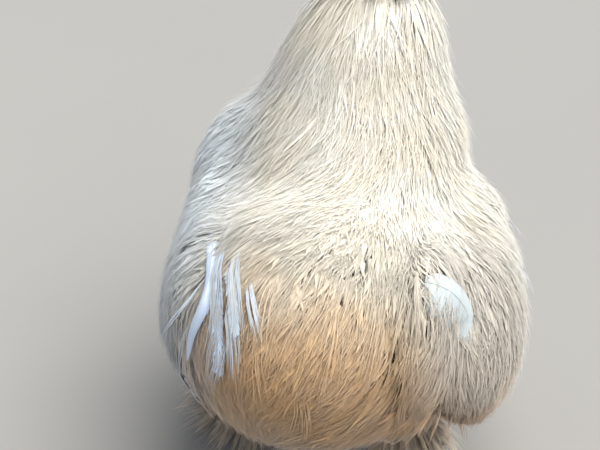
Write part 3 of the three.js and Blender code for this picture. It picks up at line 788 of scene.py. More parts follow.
def strand_mesh(centre, across, over, wide, thick, normal):
    """Three-sided strands that taper to a tip, from (strand, station) arrays. Their shading
    leans towards the coat's own normal, as silky barbs scatter light between them."""
    count, stations = centre.shape[:2]
    rings = stations - 1
    aside = across[:, :rings] * (wide[:, :rings] * 0.87)[..., None]
    above = over[:, :rings] * thick[:, :rings, None]
    base = centre[:, :rings]
    out = np.stack([above, -aside - above * 0.5, aside - above * 0.5], 2)
    ring = base[:, :, None] + out
    points = np.concatenate([ring.reshape(count, -1, 3), centre[:, -1:]], 1)
    lean = unit(normal[:, :rings, None] + 0.22 * unit(out))
    normals = np.concatenate([lean.reshape(count, -1, 3), normal[:, -1:]], 1)
    each = 3 * rings + 1
    side = []
    for k in range(3):
        m = (k + 1) % 3
        for r in range(rings - 1):
            a, b = 3 * r + k, 3 * r + m
            side += [(a, b + 3, b), (a, a + 3, b + 3)]
        side.append((3 * (rings - 1) + k, each - 1, 3 * (rings - 1) + m))
    side.append((0, 1, 2))
    faces = (np.arange(count)[:, None, None] * each + np.array(side)[None]).reshape(-1, 3)
    return points.reshape(-1, 3), faces, normals.reshape(-1, 3)


def bed_points(count, rng):
    """Random points all over the bed: those of a cloud that lie close to it."""
    found = np.zeros((0, 3))
    while len(found) < count:
        cloud = rng.uniform(*CLOUD, (CLOUD_POINTS, 3))
        found = np.concatenate([found, cloud[np.abs(bed.distance(cloud)) < NEAR_BED]])
    return bed.settle(found[:count])


def spaced_out(points, apart):
    """Which points are left when each kept one clears all those that lie near it."""
    tree = KDTree(len(points))
    for index, point in enumerate(points):
        tree.insert(point, index)
    tree.balance()
    kept, free = np.zeros(len(points), bool), np.ones(len(points), bool)
    for index, point in enumerate(points):
        if free[index]:
            kept[index] = True
            for _, near, _ in tree.find_range(point, apart[index]):
                free[near] = False
    return kept


def ease(value, low, high):
    """0 to 1 as value goes from low to high, with soft ends."""
    t = np.clip((value - low) / (high - low), 0, 1)
    return t * t * (3 - 2 * t)


NECK_BASE = np.array([6.0, -70.0, 250.0])  # the trunk's feathers run out and down from here
SHELF = np.array([-52.0, -22.0, 240.0])  # the rear's splay from here, under the cape's hem
# Where each change of lie or cover begins and where it is whole.
REAR = (-50, 20)
LOWER_SIDE = (150, 80)
HEM = (265, 215)
BELLY = (100, 78)
SHELF_REACH = (95, 45)
THROAT_RISE, THROAT_FRONT = (282, 300), (-88, -106)


def lie(p):
    """Which way the feathers run at points on the body."""
    down = np.array([0.0, 0.0, -1.0])
    rear = ease(p[:, 1], *REAR)[:, None]
    low = ease(p[:, 2], *LOWER_SIDE)[:, None]
    hem = ease(p[:, 2], *HEM)[:, None]
    from_neck, splayed = unit(p - NECK_BASE), unit(p - SHELF)
    ways = {
        "torso": from_neck * 0.7 + splayed * rear + down * low * 0.5,
        "neck": down + [0.06, 0.15, 0.0] + hem * [0.22, 0.1, 0.0],
        "wing_left": from_neck + down * 0.25 + down * low * 0.5,
        "wing_right": from_neck * 0.4 + splayed + down * low * 0.6,
        "tail": from_neck * 0.5 + splayed + down * low * 0.5,
        "thigh_left": down + [0, 0.3, 0],
        "thigh_right": down + [0, 0.3, 0],
    }
    total = np.zeros_like(p)
    for name, way in ways.items():
        weight = np.exp(-np.clip(cores[name].distance(p), -20, 80) / 9)
        total += weight[:, None] * unit(way + np.zeros_like(p))
    return unit(total)


def flow(starts, length, turn):
    """Middle lines over the bed from above each start: points, normals and directions across."""
    p = bed.settle(starts)
    points, normals, sides = [], [], []
    for _ in range(FINE_STEPS + 1):
        n = bed.normal(p)
        way = lie(p)
        way = unit(way - n * dot(way, n))
        way = way * np.cos(turn)[:, None] + np.cross(n, way) * np.sin(turn)[:, None]
        points.append(p)
        normals.append(n)
        sides.append(np.cross(n, way))
        p = bed.settle(p + way * (length / FINE_STEPS)[:, None])
    return [np.stack(rows, 1) for rows in (points, normals, sides)]


def sample(values, share):
    """values at shares of the middle line, for each strand and station."""
    at = np.clip(share, 0, 1) * (values.shape[1] - 1)
    k = np.minimum(at.astype(int), values.shape[1] - 2)
    t = (at - k)[..., None]
    rows = np.arange(len(values))[:, None]
    return values[rows, k] * (1 - t) + values[rows, k + 1] * t


def frames(centre, normal, twist):
    """Directions across and over each strand, turned about it by twist."""
    along, across = directions(centre, normal, axis=1)
    over = np.cross(across, along)
    c, s = np.cos(twist)[:, None, None], np.sin(twist)[:, None, None]
    return across * c + over * s, over * c - across * s


def unwrap(roots, centre):
    """Each root's place on the skin opened out about its own middle, with areas kept."""
    way = unit(roots - centre)
    u = np.arctan2(way[:, 0], -way[:, 1]) / (2 * math.pi) + 0.5
    v = way[:, 2] / 2 + 0.5
    return np.stack([0.01 + u * 0.98, 0.01 + v * 0.98], 1)


def write_coat(name, centre, normal, tufts, place, rng, material=PLUMAGE, pale=0.0, replaces=()):
    """Strands as pieces of less than LIMIT triangles, each with its tufts' patches. The first
    piece stands for the solids."""
    stations = centre.shape[1]
    spaced = LONG if stations == len(LONG) else SHORT
    owner = tufts["owner"]
    wide = tufts["wide"][:, None] * PROFILE[stations]
    across, over = frames(centre, normal, tufts["twist"])
    each = 3 * (stations - 1) + 1
    room = LIMIT // (6 * (stations - 2) + 4)
    order = np.argsort(place[owner][:, 0] * 1000 + owner * 1e-3, kind="stable")
    chunks = max(1, math.ceil(len(order) / room))
    share = np.append(np.repeat(spaced[:-1], 3), 1.0)
    for i, chosen in enumerate(np.array_split(order, chunks)):
        size = wide[chosen]
        points, faces, normals = strand_mesh(centre[chosen], across[chosen], over[chosen], size,
                                             size * FLAT, normal[chosen])
        shares = np.tile(share, len(chosen))
        uv = np.repeat(place[owner[chosen]], each, axis=0)
        uv[:, 0] += np.repeat((rng.random(len(chosen)) - 0.5) * PATCH, each)
        uv[:, 1] += (shares - 0.5) * PATCH
        # pale is the share of painted cool shade, read by the vanes material.
        marks = {"share": shares, "tint": np.repeat(tufts["tint"][chosen], each),
                 "pale": np.full(len(points), pale)}
        piece(name if chunks == 1 else f"{name}_{i + 1}", points, [faces], material, uv, marks,
              normals, replaces if i == 0 else (), "plumage")


# Feathers of each part: least distance between tufts, strands to a tuft, length, spread across,
# least and most height in the coat, how steeply they rise, half width of a strand, its stations.
PLUMES = {
    "neck": (3.8, 7, 80, 4.5, 0.55, 1.0, 0.80, 0.25, LONG),
    "torso": (3.65, 8, 46, 6.0, 0.60, 1.05, 0.55, 0.24, SHORT),
    "tail": (3.65, 8, 50, 6.5, 0.60, 1.05, 0.60, 0.24, SHORT),
    "wing_left": (3.65, 8, 42, 6.0, 0.50, 0.90, 0.55, 0.24, SHORT),
    "wing_right": (3.65, 8, 44, 6.0, 0.60, 1.20, 0.55, 0.24, SHORT),
    "thigh_left": (4.0, 8, 30, 5.0, 0.50, 1.0, 0.60, 0.24, SHORT),
    "thigh_right": (4.0, 8, 30, 5.0, 0.50, 1.0, 0.60, 0.24, SHORT),
}
NAPE = 330  # tufts that spring from the back of the head over the top of the neck
UNDER_CAPE = 26.0  # no feather grows deeper than this inside the cape
ROOT_DEPTH = -2.5  # a root's height over the skin
HEAD_ROOT_DEPTH = -0.6
POOL = 70000  # points to choose starts from


def strands_of(rng, tufts, strands, spread, lift, wide, lengths):
    """Random shape of each strand: owner, place across, height, length, bend, width and twist.
    The first two of a tuft are broad down, low and high in the coat, which hides the skin."""
    owner = np.repeat(np.arange(tufts), strands)
    n = len(owner)
    kind = np.arange(n) % strands
    cases = [kind == 0, kind == 1, rng.random(n) < WISPS]
    return {
        "owner": owner,
        "loose": cases[2],
        "aside": rng.uniform(-1, 1, n) * spread * np.repeat(rng.uniform(0.6, 1.3, tufts), strands),
        "lift": np.select(cases, [lift[0] * rng.uniform(0.8, 1.1, n),
                                  lift[1] * rng.uniform(0.7, 0.9, n),
                                  lift[1] * rng.uniform(1.1, 1.5, n)], rng.uniform(*lift, n)),
        "length": rng.uniform(*lengths, n) * np.select(cases, [0.8, 0.9, 1.1], 1.0),
        "bend": rng.normal(0, 2.8, n) + np.repeat(rng.normal(0, 2.4, tufts), strands),
        "curl": rng.normal(0, 1.6, n),
        "wide": wide * np.select(cases, [8.5, 2.6, 0.62], rng.uniform(0.7, 1.4, n)),
        "twist": np.where(kind < 2, 0.3, 1.0) * rng.uniform(-0.8, 0.8, n),
        "tint": np.clip(np.repeat(rng.random(tufts), strands) * 0.6 + rng.random(n) * 0.4, 0, 1),
    }


def nape_roots(rng):
    """Where the nape's feathers start on the top of the neck, and their roots on the head."""
    top = cores["neck"].parts[-1]
    ways = unit(rng.normal(size=(4 * NAPE, 3)))
    ways = ways[(ways[:, 2] > -0.1) & (ways[:, 1] > -0.45)][:NAPE]
    starts = top[0] + ways * top[1]
    return starts, skull.settle(starts, HEAD_ROOT_DEPTH)


def coat_starts(rng):
    """Where each part's tufts start over the bed: evenly spaced, closer together under the cape's
    hem, wider apart on the belly, and none deep under the cape."""
    pool = bed_points(POOL, rng)
    region = np.argmin(np.stack([coats[name].distance(pool) for name in cores], 1), axis=1)
    apart = np.array([plume[0] for plume in PLUMES.values()])[region]
    apart = apart * (1 + 0.3 * ease(pool[:, 2], *BELLY))
    near_shelf = ease(np.linalg.norm(pool - SHELF, axis=1), *SHELF_REACH)
    kept = spaced_out(pool, apart * (1 - 0.3 * near_shelf))
    buried = coats["neck"].distance(pool) <= -UNDER_CAPE
    return {name: pool[(region == index) & kept & ~(buried & (name != "neck"))]
            for index, name in enumerate(cores)}


def part_coat(name, starts, rng):
    """The strands of one part, from the skin up to the coat's outer form."""
    _, strands, length, spread, low, high, steep, wide, spaced = PLUMES[name]
    roots = flesh.settle(flesh.settle(starts, ROOT_DEPTH), ROOT_DEPTH)
    if name == "neck":
        starts, roots = [np.concatenate(x) for x in zip((starts, roots), nape_roots(rng))]
    count = len(roots)
    lengths = length * rng.uniform(0.7, 1.15, count)
    points, normals, sides = flow(starts, lengths, rng.normal(0, 0.16, count))
    tufts = strands_of(rng, count, strands, spread, (low, high), wide, (0.72, 1.0))
    owner = tufts["owner"]
    share = spaced * tufts["length"][:, None]
    on_bed, normal, side = [sample(values[owner], share) for values in (points, normals, sides)]
    room = np.clip(-cover.distance(on_bed.reshape(-1, 3)), *COAT_DEPTH).reshape(on_bed.shape[:2])
    throat = ease(on_bed[..., 2], *THROAT_RISE) * ease(on_bed[..., 1], *THROAT_FRONT)
    room = room * (1 - 0.5 * throat)
    steepness = np.where(tufts["loose"], WISP_STEEPNESS, steep)[:, None]
    rise = np.minimum(room * tufts["lift"][:, None] * spaced**steepness, room + STRAY)
    fan = spaced**0.7 * (1 - 0.3 * spaced**2)
    aside = tufts["aside"][:, None] * fan + tufts["bend"][:, None] * spaced**2
    centre = on_bed + side * aside[..., None]
    centre += normal * (rise + tufts["curl"][:, None] * spaced**2)[..., None]
    centre[:, 0] = roots[owner]
    write_coat(f"coat_{name}", centre, normal, tufts, unwrap(roots, cores[name].centre), rng)


def body_coat():
    rng = np.random.default_rng(20)
    for name, starts in coat_starts(rng).items():
        part_coat(name, starts, rng)


body_coat()


# Crest, beard and muffs: tufts from the head that curve out to their tips. The ways to their tips
# lie above one bound, below another and no farther behind than a third. Squash and lean turn them
# into the ways to the roots, swell bows a tuft out and sag lets its tip down.
PUFFS = {
    "crest": {"seed": 21, "form": crest_coat, "above": -0.6, "below": 1.0, "behind": 1.0,
              "squash": (0.85, 0.8, 0.7), "lean": (0, 0.1, 0.75), "swell": 0.62, "strands": 8,
              "spread": 4.0, "sag": 5.0, "tufts": 900},
    "beard": {"seed": 22, "form": beard_coat, "above": -1.0, "below": 0.5, "behind": 0.7,
              "squash": (0.95, 0.8, 0.55), "lean": (0, 0.05, -0.4), "swell": 0.45, "strands": 7,
              "spread": 3.6, "sag": 3.0, "tufts": 560},
}
WAYS = 6000  # to choose from
PUFF_WIDTH = 0.24


def on_form(form, ways, offset=0.0):
    """Where rays from a form's centre come to a height over it."""
    near, far = np.zeros(len(ways)), np.full(len(ways), 200.0)
    for _ in range(26):
        middle = (near + far) / 2
        inside = form.distance(form.centre + ways * middle[:, None]) < offset
        near, far = np.where(inside, middle, near), np.where(inside, far, middle)
    return form.centre + ways * near[:, None]


def spread_tips(form, ways, rng):
    """Tips on a form, one in four of them well inside it."""
    full = np.where(rng.random(len(ways)) < 0.25, rng.uniform(0.5, 0.8, len(ways)),
                    rng.uniform(0.86, 1.02, len(ways)))
    return form.centre + (on_form(form, ways) - form.centre) * full[:, None]


def fanned(centre, normal, tufts, curl):
    """Each tuft's strands drawn apart to both sides, and curled up or down."""
    fan = LONG**0.8
    _, side = directions(centre, normal, axis=1)
    out = centre + side * (tufts["aside"][:, None] * fan)[..., None]
    return out + normal * (tufts["curl"][:, None] * curl * fan)[..., None]


def puff(name):
    look = PUFFS[name]
    rng = np.random.default_rng(look["seed"])
    ways = unit(rng.normal(size=(WAYS, 3)))
    height = ways[:, 2]
    ways = ways[(height > look["above"]) & (height < look["below"]) & (ways[:, 1] < look["behind"])]
    roots = on_form(skull, unit(ways * look["squash"] + look["lean"]), HEAD_ROOT_DEPTH)
    tips = spread_tips(look["form"], ways, rng)
    reach = np.linalg.norm(tips - roots, axis=1, keepdims=True)
    knees = roots + skull.normal(roots) * reach * look["swell"]
    even = np.linspace(0, 1, FINE_STEPS + 1)
    t = even[None, :, None]
    arcs = roots[:, None] * (1 - t) ** 2 + 2 * knees[:, None] * t * (1 - t) + tips[:, None] * t**2
    arcs[..., 2] -= look["sag"] * even**2
    apart = bare_face.distance(arcs.reshape(-1, 3)).reshape(arcs.shape[:2])
    clear = np.flatnonzero(apart[:, 2:].min(axis=1) > 1.0)[:look["tufts"]]
    tufts = strands_of(rng, len(clear), look["strands"], look["spread"], (0, 1), PUFF_WIDTH, (0.8, 1.02))
    centre = sample(arcs[clear][tufts["owner"]], LONG * tufts["length"][:, None])
    normal = unit(centre - (HEAD + [0, 4, 0]))
    write_coat(f"coat_{name}", fanned(centre, normal, tufts, 1.4), normal, tufts,
               unwrap(roots[clear], HEAD), rng, replaces=(name,))


for name in PUFFS:
    puff(name)


# Flight and tail feathers: a shaft with barbs on both sides, which part towards their ends.
# A fan runs evenly from its first feather to its last. Its width is a feather's half width, and
# sunk is the depth of its feathers in the form of a coat.
# pale is the share of painted cool shade on a fan's white feathers.
FANS = {
    "wing_left": {"feathers": 8, "roots": ((92, -28, 146), (80, 24, 170)), "seed": 31,
                  "tips": ((79, 48, 102), (42, 88, 114)), "width": 8.0, "form": "torso",
                  "sunk": 2, "pale": 0.15},
    "wing_right": {"feathers": 7, "roots": ((-100, -12, 140), (-86, 22, 168)), "seed": 32,
                   "tips": ((-104, 74, 104), (-60, 96, 128)), "width": 8.5, "form": "torso",
                   "sunk": 2, "pale": 0.1},
    "tail": {"feathers": 5, "roots": ((-24, 96, 196), (24, 96, 196)), "seed": 33,
             "tips": ((-40, 112, 146), (40, 112, 146)), "width": 10.0, "form": "tail",
             "sunk": 16, "pale": 0.0},
}
BARBS = 95  # on each side of a shaft
BARB_PROFILE = np.array([0.8, 1, 1, 0])
NARROW_SIDE = 0.72  # width of a feather's narrow side for that of its broad one
BLADE_COLUMNS = 17
LINE_POINTS = 40


def feather(line, up, width, ragged, rng):
    """(centre, normal, half width) of the barbs of one feather."""
    count = len(line)
    along, across = directions(line, up)
    at = np.tile(np.linspace(0.10, 0.985, BARBS), 2)
    side = np.repeat([1.0, -1.0], BARBS)

    def here(values):
        return np.stack([np.interp(at * (count - 1), np.arange(count), row) for row in values.T], 1)

    root, tangent, out, over = here(line), here(along), here(across), here(up)
    full = width * (0.42 + 0.75 * at) * (1 - at**5) ** 0.8 * np.where(side > 0, 1.0, NARROW_SIDE)
    full = full * rng.uniform(1 - 0.3 * ragged, 1 + 0.1 * ragged, len(at)) * 1.15
    sweep = 0.75 + 0.35 * at + rng.normal(0, 0.10 * ragged, len(at))
    t = SHORT[None, :, None]
    way = out * side[:, None] * np.cos(sweep)[:, None] + tangent * np.sin(sweep)[:, None]
    reach = (full / np.maximum(np.cos(sweep), 0.25))[:, None, None]
    centre = root[:, None] + way[:, None] * reach * t + tangent[:, None] * reach * 0.25 * t**2
    centre -= over[:, None] * (reach * 0.10 * t**2)
    centre += over[:, None] * (rng.normal(0, 0.6 * ragged, len(at))[:, None, None] * t**2)
    normal = np.repeat(over[:, None], len(SHORT), 1)
    wide = np.repeat((width * 0.075 * (1.1 - 0.3 * at))[:, None], len(SHORT), 1)
    return centre, normal, wide * BARB_PROFILE


def blade(line, up, width, rng):
    """A smooth closed vane along line, thin at its edges, and the marks of its barbs."""
    count, columns = len(line), BLADE_COLUMNS
    _, across = directions(line, up)
    share = np.linspace(0, 1, count)[:, None]
    u = np.linspace(-1, 1, columns)[None, :]
    ragged = 1 + 0.02 * rng.normal(size=(count, 2)).cumsum(axis=0)
    full = np.clip(share * 6, 0.12, 1) ** 0.5 * (1 - share**4) ** 0.7
    full = full * np.where(u > 0, width[0] * ragged[:, :1], width[1] * ragged[:, 1:])
    middle = line[:, None] + across[:, None] * (full * u)[..., None]
    middle -= up[:, None] * (full * 0.28 * u**2)[..., None]
    thick = 0.08 + 0.30 * (1 - u**2)
    layers = [middle + up[:, None] * (thick * side)[..., None] for side in (1, -1)]
    points = np.concatenate([layer.reshape(-1, 3) for layer in layers])
    top = flipped(grid(count, columns, closed=False))
    n = count * columns
    rim = np.concatenate([
        np.arange(columns - 1), np.arange(1, count) * columns - 1,
        n - 1 - np.arange(columns - 1), np.arange(count - 1, 0, -1) * columns])
    rim_next = np.roll(rim, -1)
    edge = np.stack([rim, rim_next, rim_next + n, rim + n], 1)
    barb = np.tile((share * np.linalg.norm(line[-1] - line[0]) - 0.8 * np.abs(full * u)).ravel(), 2)
    marks = {"share": np.tile(np.repeat(share, columns, 1).ravel(), 2), "barb": barb}
    return points, [top, top[:, ::-1] + n, edge], marks, np.tile(np.repeat(u, count, 0).ravel(), 2)


def shaft_tube(line, up, radius, lift, sides):
    radius = radius * (1 - 0.85 * np.linspace(0, 1, len(line)))
    return tube(line + up * lift, radius, radius, sides)


def shaft_piece(name, points, faces, tint, pale):
    marks = {"tint": np.full(len(points), tint), "pale": np.full(len(points), pale)}
    piece(name, points, faces, VANES, marks=marks, slot="plumage")


def make_blade(name, line, up, width, tint, rng):
    points, faces, marks, aside = blade(line, up, width, rng)
    uv = unwrap(line[:1], line[0] - up[0] * 60) + np.stack([aside * 0.5, marks["share"] - 0.5], 1) * PATCH
    same = np.ones(len(points))
    # A blade is wholly painted cool shade, pale 1, its tone picked by tint.
    marks = {**marks, "tint": same * tint, "pale": same}
    piece(f"vane_{name}", points, faces, VANES, uv, marks, slot="plumage")
    shaft_piece(f"shaft_{name}", *shaft_tube(line, up, 0.6, 0.35, 8), 1.0, 1.0)


def make_vanes(name, lines, ragged, pale, rng):
    """Feathers as two pieces, barbs and shafts. lines has a line, its ups and a half width each."""
    parts = [feather(line, up, width, ragged, rng) for line, up, width in lines]
    shafts = [shaft_tube(line, up, 0.35 + 0.05 * width, 0.3, 6) for line, up, width in lines]
    centre, normal, wide = [np.concatenate(x) for x in zip(*parts)]
    across, over = frames(centre, normal, rng.normal(0, 0.15, len(centre)))
    points, faces, normals = strand_mesh(centre, across, over, wide, wide * 0 + 0.22, normal)
    n = len(centre)
    each = len(points) // n
    tint = np.repeat(np.repeat(rng.random(len(lines)), 2 * BARBS) * 0.7 + rng.random(n) * 0.3, each)
    share = np.tile(np.append(np.repeat(SHORT[:-1], 3), 1.0), n)
    place = unwrap(centre[:, 0], centre[:, 0].mean(0) - normal[:, 0].mean(0) * 60)
    uv = np.repeat(place, each, axis=0)
    uv[:, 1] += (share - 0.5) * PATCH
    marks = {"share": share, "tint": tint, "pale": np.full(len(points), pale)}
    piece(f"vanes_{name}", points, [faces], VANES, uv, marks, normals, slot="plumage")
    shaft_piece(f"shafts_{name}", *together(shafts), 0.2, pale)


def make_fan(name):
    fan = FANS[name]
    rng = np.random.default_rng(fan["seed"])
    form = coats[fan["form"]]
    lines = []
    for i, share in enumerate(np.arange(fan["feathers"]) / (fan["feathers"] - 1)):
        root, tip = [np.array(first, float) * (1 - share) + np.array(last, float) * share
                     for first, last in (fan["roots"], fan["tips"])]
        tip = tip + (tip - root) * 0.16 * (rng.random() - 0.5)
        p = root + (tip - root) * np.array([0, 0.35, 0.7, 1])[:, None]
        short = np.maximum(3.4 * (i % 2) - fan["sunk"] - form.distance(p), 0)
        short[0] = 0
        line = curve(p + form.normal(p) * short[:, None], LINE_POINTS)
        lines.append((line, form.normal(line), fan["width"] * (0.9 + 0.25 * rng.random())))
    make_vanes(name, lines, 1.0, fan["pale"], rng)


for name in FANS:
    make_fan(name)


# Single feathers that show in the photograph: the pixels that each passes through, its height
# above the coat there in mm (its root is sunk), half width, and its tint or raggedness.
# A blade's tint picks its painted shade: blue-white at 0, grey at 1.
SHOWN_BLADES = {
    "left": (((215, 222), (211, 262), (207, 305), (194, 360)), (-8, -1, 2, 3), (4.2, 5.2), 0.0),
    "right": (((428, 276), (450, 290), (465, 314), (470, 350)), (-6, 1, 2, -2), (17.0, 8.0), 0.85),
}
SHOWN_VANES = {
    "left_inner": (((225, 236), (229, 272), (235, 303), (240, 336)), (-8, -1, 1, 2), 5.0, 0.9),
    "left_low": (((221, 262), (219, 300), (221, 340), (224, 376)), (-8, -1, 1, 2), 5.0, 1.3),
}
# Loose locks that show there, white ones and others: pixels, heights, strands, spread to each
# side, and half width.
WHITE_LOCKS = [
    (((218, 236), (218, 272), (220, 310), (221, 350)), (-5, 1, 2, 3), 34, 6.0, 0.36),
    (((232, 238), (235, 274), (239, 310), (242, 350)), (-5, 1, 2, 3), 30, 5.5, 0.36),
    (((219, 270), (217, 315), (216, 352), (214, 394)), (-5, 1, 3, 5), 24, 6.0, 0.38),
    (((231, 275), (232, 320), (237, 352), (241, 386)), (-5, 1, 2, 4), 22, 6.0, 0.38),
    (((244, 270), (251, 300), (257, 325), (263, 345)), (-6, 0, 1, 1), 18, 4.5, 0.38),
    (((226, 330), (224, 352), (222, 372), (220, 392)), (-6, 1, 3, 5), 16, 7.0, 0.36),
    (((205, 196), (198, 214), (190, 230), (180, 246)), (-6, 0, 1, 2), 12, 6.0, 0.34),
    (((207, 277), (189, 302), (171, 325), (147, 362)), (-5, 2, 4, 3), 3, 0.8, 0.42),
    (((186, 330), (184, 350), (184, 366), (186, 380)), (-3, 1, 2, 2), 3, 3.0, 0.30),
    (((500, 215), (510, 220), (519, 229), (524, 240)), (-4, 3, 6, 8), 5, 3.5, 0.24),
    (((516, 258), (525, 270), (531, 283), (535, 298)), (-4, 1, 3, 4), 5, 4.0, 0.24),
]
COAT_LOCKS = [
    (((416, 262), (417, 290), (419, 316), (422, 346)), (-6, 0, 1, 1), 9, 3.0, 0.36),
    (((452, 262), (468, 280), (478, 304), (481, 340)), (-6, 1, 2, 1), 8, 2.6, 0.34),
    (((462, 330), (469, 346), (474, 362), (478, 384)), (-5, 1, 2, 1), 7, 3.0, 0.34),
    (((452, 392), (460, 412), (466, 428), (469, 443)), (-5, 1, 2, 2), 6, 3.0, 0.38),
    (((300, 392), (304, 412), (303, 430), (298, 447)), (-6, 0, 1, 1), 12, 8.0, 0.36),
    (((405, 396), (402, 414), (399, 428), (396, 442)), (-6, 0, 1, 1), 8, 6.0, 0.34),
    (((258, 330), (259, 366), (264, 398), (274, 424)), (-6, 0, 1, 1), 8, 6.0, 0.30),
    (((184, 346), (189, 370), (199, 392), (214, 412)), (-3, 1, 1, 0), 18, 5.0, 0.40),
    (((342, 300), (337, 340), (329, 380), (320, 420)), (-6, 0, 1, 1), 8, 8.0, 0.30),
    (((386, 290), (380, 330), (371, 372), (360, 412)), (-6, 0, 1, 1), 8, 8.0, 0.30),
    (((278, 262), (269, 296), (264, 330), (264, 366)), (-6, 0, 1, 1), 8, 6.0, 0.30),
]


def shown_locks(name, locks, material, pale, rng):
    lines = np.array([seen_line(pixels, heights, FINE_STEPS + 1) for pixels, heights, *_ in locks])
    numbers, spreads, widths = [np.array(x) for x in zip(*[lock[2:] for lock in locks])]
    owner = np.repeat(np.arange(len(lines)), numbers)
    n = len(owner)
    tufts = {
        "owner": owner,
        "wide": widths[owner] * rng.uniform(0.7, 1.5, n),
        "twist": rng.uniform(-0.6, 0.6, n),
        "tint": rng.random(n),
    }
    centre = sample(lines[owner], LONG * rng.uniform(0.7, 1.0, n)[:, None])
    normal = cover.normal(centre)
    _, side = directions(centre, normal, axis=1)
    aside = rng.uniform(-1, 1, n) * spreads[owner]
    wave = rng.normal(0, 1.2, n)[:, None] * np.sin(LONG * 5 + rng.uniform(0, 6, n)[:, None])
    centre += side * (aside[:, None] * (0.35 + 0.65 * LONG) + wave * LONG)[..., None]
    centre += normal * (rng.uniform(-1.5, 1.5, n)[:, None] * LONG)[..., None]
    write_coat(name, centre, normal, tufts, unwrap(lines[:, 0], bed.centre), rng, material, pale)


def seen_vane(pixels, heights):
    """A feather's line on the coat, and its upper side, turned partly towards the camera."""
    line = seen_line(pixels, heights, LINE_POINTS)
    return line, unit(cover.normal(line) + 0.7 * BACK)


def shown_feathers():
    rng = np.random.default_rng(60)
    for name, (pixels, heights, width, tint) in SHOWN_BLADES.items():
        make_blade(name, *seen_vane(pixels, heights), width, tint, rng)
    # Shown vanes are wholly painted cool shade, pale 1.0, and the white locks mostly, pale 0.85.
    for name, (pixels, heights, width, ragged) in SHOWN_VANES.items():
        make_vanes(name, [(*seen_vane(pixels, heights), width)], ragged, 1.0, rng)
    shown_locks("coat_white_locks", WHITE_LOCKS, VANES, 0.85, rng)
    shown_locks("coat_long_locks", COAT_LOCKS, PLUMAGE, 0.0, rng)


shown_feathers()


# Foot feathers: from the outer side of the shank and the outer toe.
FOOT_REACH = {"left": 62.0, "right": 46.0}
SHANK_TUFTS, TOE_TUFTS = 150, 70
SHANK_HEIGHTS = (12, 60)
SHANK_TURNS = (-35, 110)  # degrees from straight outward to behind
LEAST_REACH = 26.0
UP = np.array([0.0, 0.0, 1.0])


def shank_lines(side, rng):
    """Control points of lines that run out from the shank and droop."""
    sign, leg = LEGS[side]
    high = rng.uniform(*SHANK_HEIGHTS, SHANK_TUFTS)[:, None]
    turn = np.radians(rng.uniform(*SHANK_TURNS, SHANK_TUFTS))
    out = np.stack([sign * np.cos(turn), np.sin(turn), np.zeros(SHANK_TUFTS)], 1)
    root = np.array([*leg, 0]) + out * SHANK * 0.9 + high * UP
    reach = rng.uniform(LEAST_REACH, FOOT_REACH[side], SHANK_TUFTS)[:, None]
    droop = UP * (high * 0.62)
    return [root, root + out * reach * 0.35 + UP * 1.5, root + out * reach * 0.75 - droop * 0.5,
            root + out * reach - droop]


def toe_lines(side, rng):
    """Control points of lines that run out from the outer toe and sink."""
    sign, _ = LEGS[side]
    path = toe_path(side, TOES[2])
    along = rng.random(TOE_TUFTS)[:, None]
    base = path[1] * (1 - along) + path[2] * along + UP * 2.5
    away = np.stack([sign * rng.uniform(14, 27, TOE_TUFTS), rng.uniform(2, 14, TOE_TUFTS),
                     np.zeros(TOE_TUFTS)], 1)
    drop = base[:, 2:] * UP
    return [base, base + away * 0.35 + UP * 4, base + away * 0.75 - drop * 0.2,
            base + away - drop * 0.55]


def foot_coat(side):
    sign, (x, y) = LEGS[side]
    rng = np.random.default_rng(50 + sign)
    parts = zip(shank_lines(side, rng), toe_lines(side, rng))
    control = np.stack([np.concatenate(points) for points in parts], 1)
    tufts = strands_of(rng, len(control), 7, 3.8, (0, 1), 0.30, (0.75, 1.0))
    centre = sample(control[tufts["owner"]], LONG * tufts["length"][:, None])
    up = UP + np.zeros_like(centre)
    centre = fanned(centre, up, tufts, 1.0)
    centre[..., 2] = np.maximum(centre[..., 2], 1.2)
    place = unwrap(control[:, 0], np.array([x - sign * 20, y, 30]))
    write_coat(f"coat_foot_{side}", centre, up, tufts, place, rng)


for side in LEGS:
    foot_coat(side)


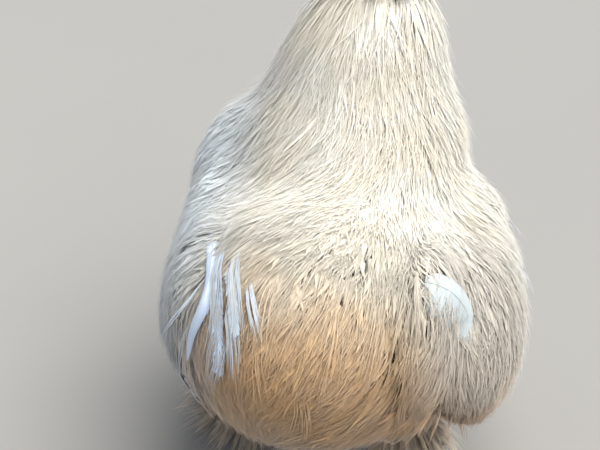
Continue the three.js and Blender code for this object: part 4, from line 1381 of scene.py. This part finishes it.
# Camera: behind the bird and above it, as in the photograph.
def aimed(name, data, location, way, axis):
    """A camera or light at a place, with one of its axes turned to point a way."""
    made = placed(name, data)
    made.location = location
    made.rotation_mode = "QUATERNION"
    made.rotation_quaternion = Vector(way).to_track_quat(axis, "Y")
    return made


def make_camera():
    data = bpy.data.cameras.new("camera")
    data.lens = VIEW["lens"]
    data.sensor_width = SENSOR
    place = Vector((EYE_POINT + SHIFT) * MM)
    bpy.context.scene.camera = aimed("camera", data, place, towards(*PICTURE_MIDDLE), "-Z")


make_camera()


# Stage: a plain pale floor and soft light, strongest from above.
FLOOR_HALF = 40.0
KEY = {"from": (-0.60, 0.08, 1.6), "power": 5.3, "angle": 0.9, "colour": (1.0, 0.96, 0.885)}
FILL = {"at": (-1.2, 1.6, 1.0), "power": 6, "size": 1.6, "colour": (1.0, 0.93, 0.85)}
SKY = {"colour": (0.85, 0.885, 0.94, 1), "power": 0.66}
LIT_POINT = (0, 0, 0.15)


def make_floor():
    mesh = bpy.data.meshes.new("floor")
    signs = ((-1, -1), (1, -1), (1, 1), (-1, 1))
    mesh.from_pydata([(x * FLOOR_HALF, y * FLOOR_HALF, 0) for x, y in signs], [], [(0, 1, 2, 3)])
    paint = Paint("floor", 0.8)
    paint.colour(paint.mix(paint.noise(3.0), (0.25, 0.25, 0.25), (0.275, 0.275, 0.27)))
    mesh.materials.append(paint.material)
    placed("floor", mesh)


def new_light(name, kind, look):
    data = bpy.data.lights.new(name, kind)
    data.energy = look["power"]
    data.color = look["colour"]
    return data


def make_key():
    data = new_light("key", "SUN", KEY)
    data.angle = KEY["angle"]
    aimed("key", data, (0, 0, 0), KEY["from"], "Z")


def make_fill():
    data = new_light("fill", "AREA", FILL)
    data.shape = "DISK"
    data.size = FILL["size"]
    aimed("fill", data, FILL["at"], Vector(LIT_POINT) - Vector(FILL["at"]), "-Z")


def make_sky():
    world = bpy.data.worlds.new("studio")
    world.use_nodes = True
    sky = world.node_tree.nodes["Background"]
    sky.inputs["Color"].default_value = SKY["colour"]
    sky.inputs["Strength"].default_value = SKY["power"]
    bpy.context.scene.world = world
    bpy.context.scene.view_settings.view_transform = "Standard"


make_floor()
make_key()
make_fill()
make_sky()
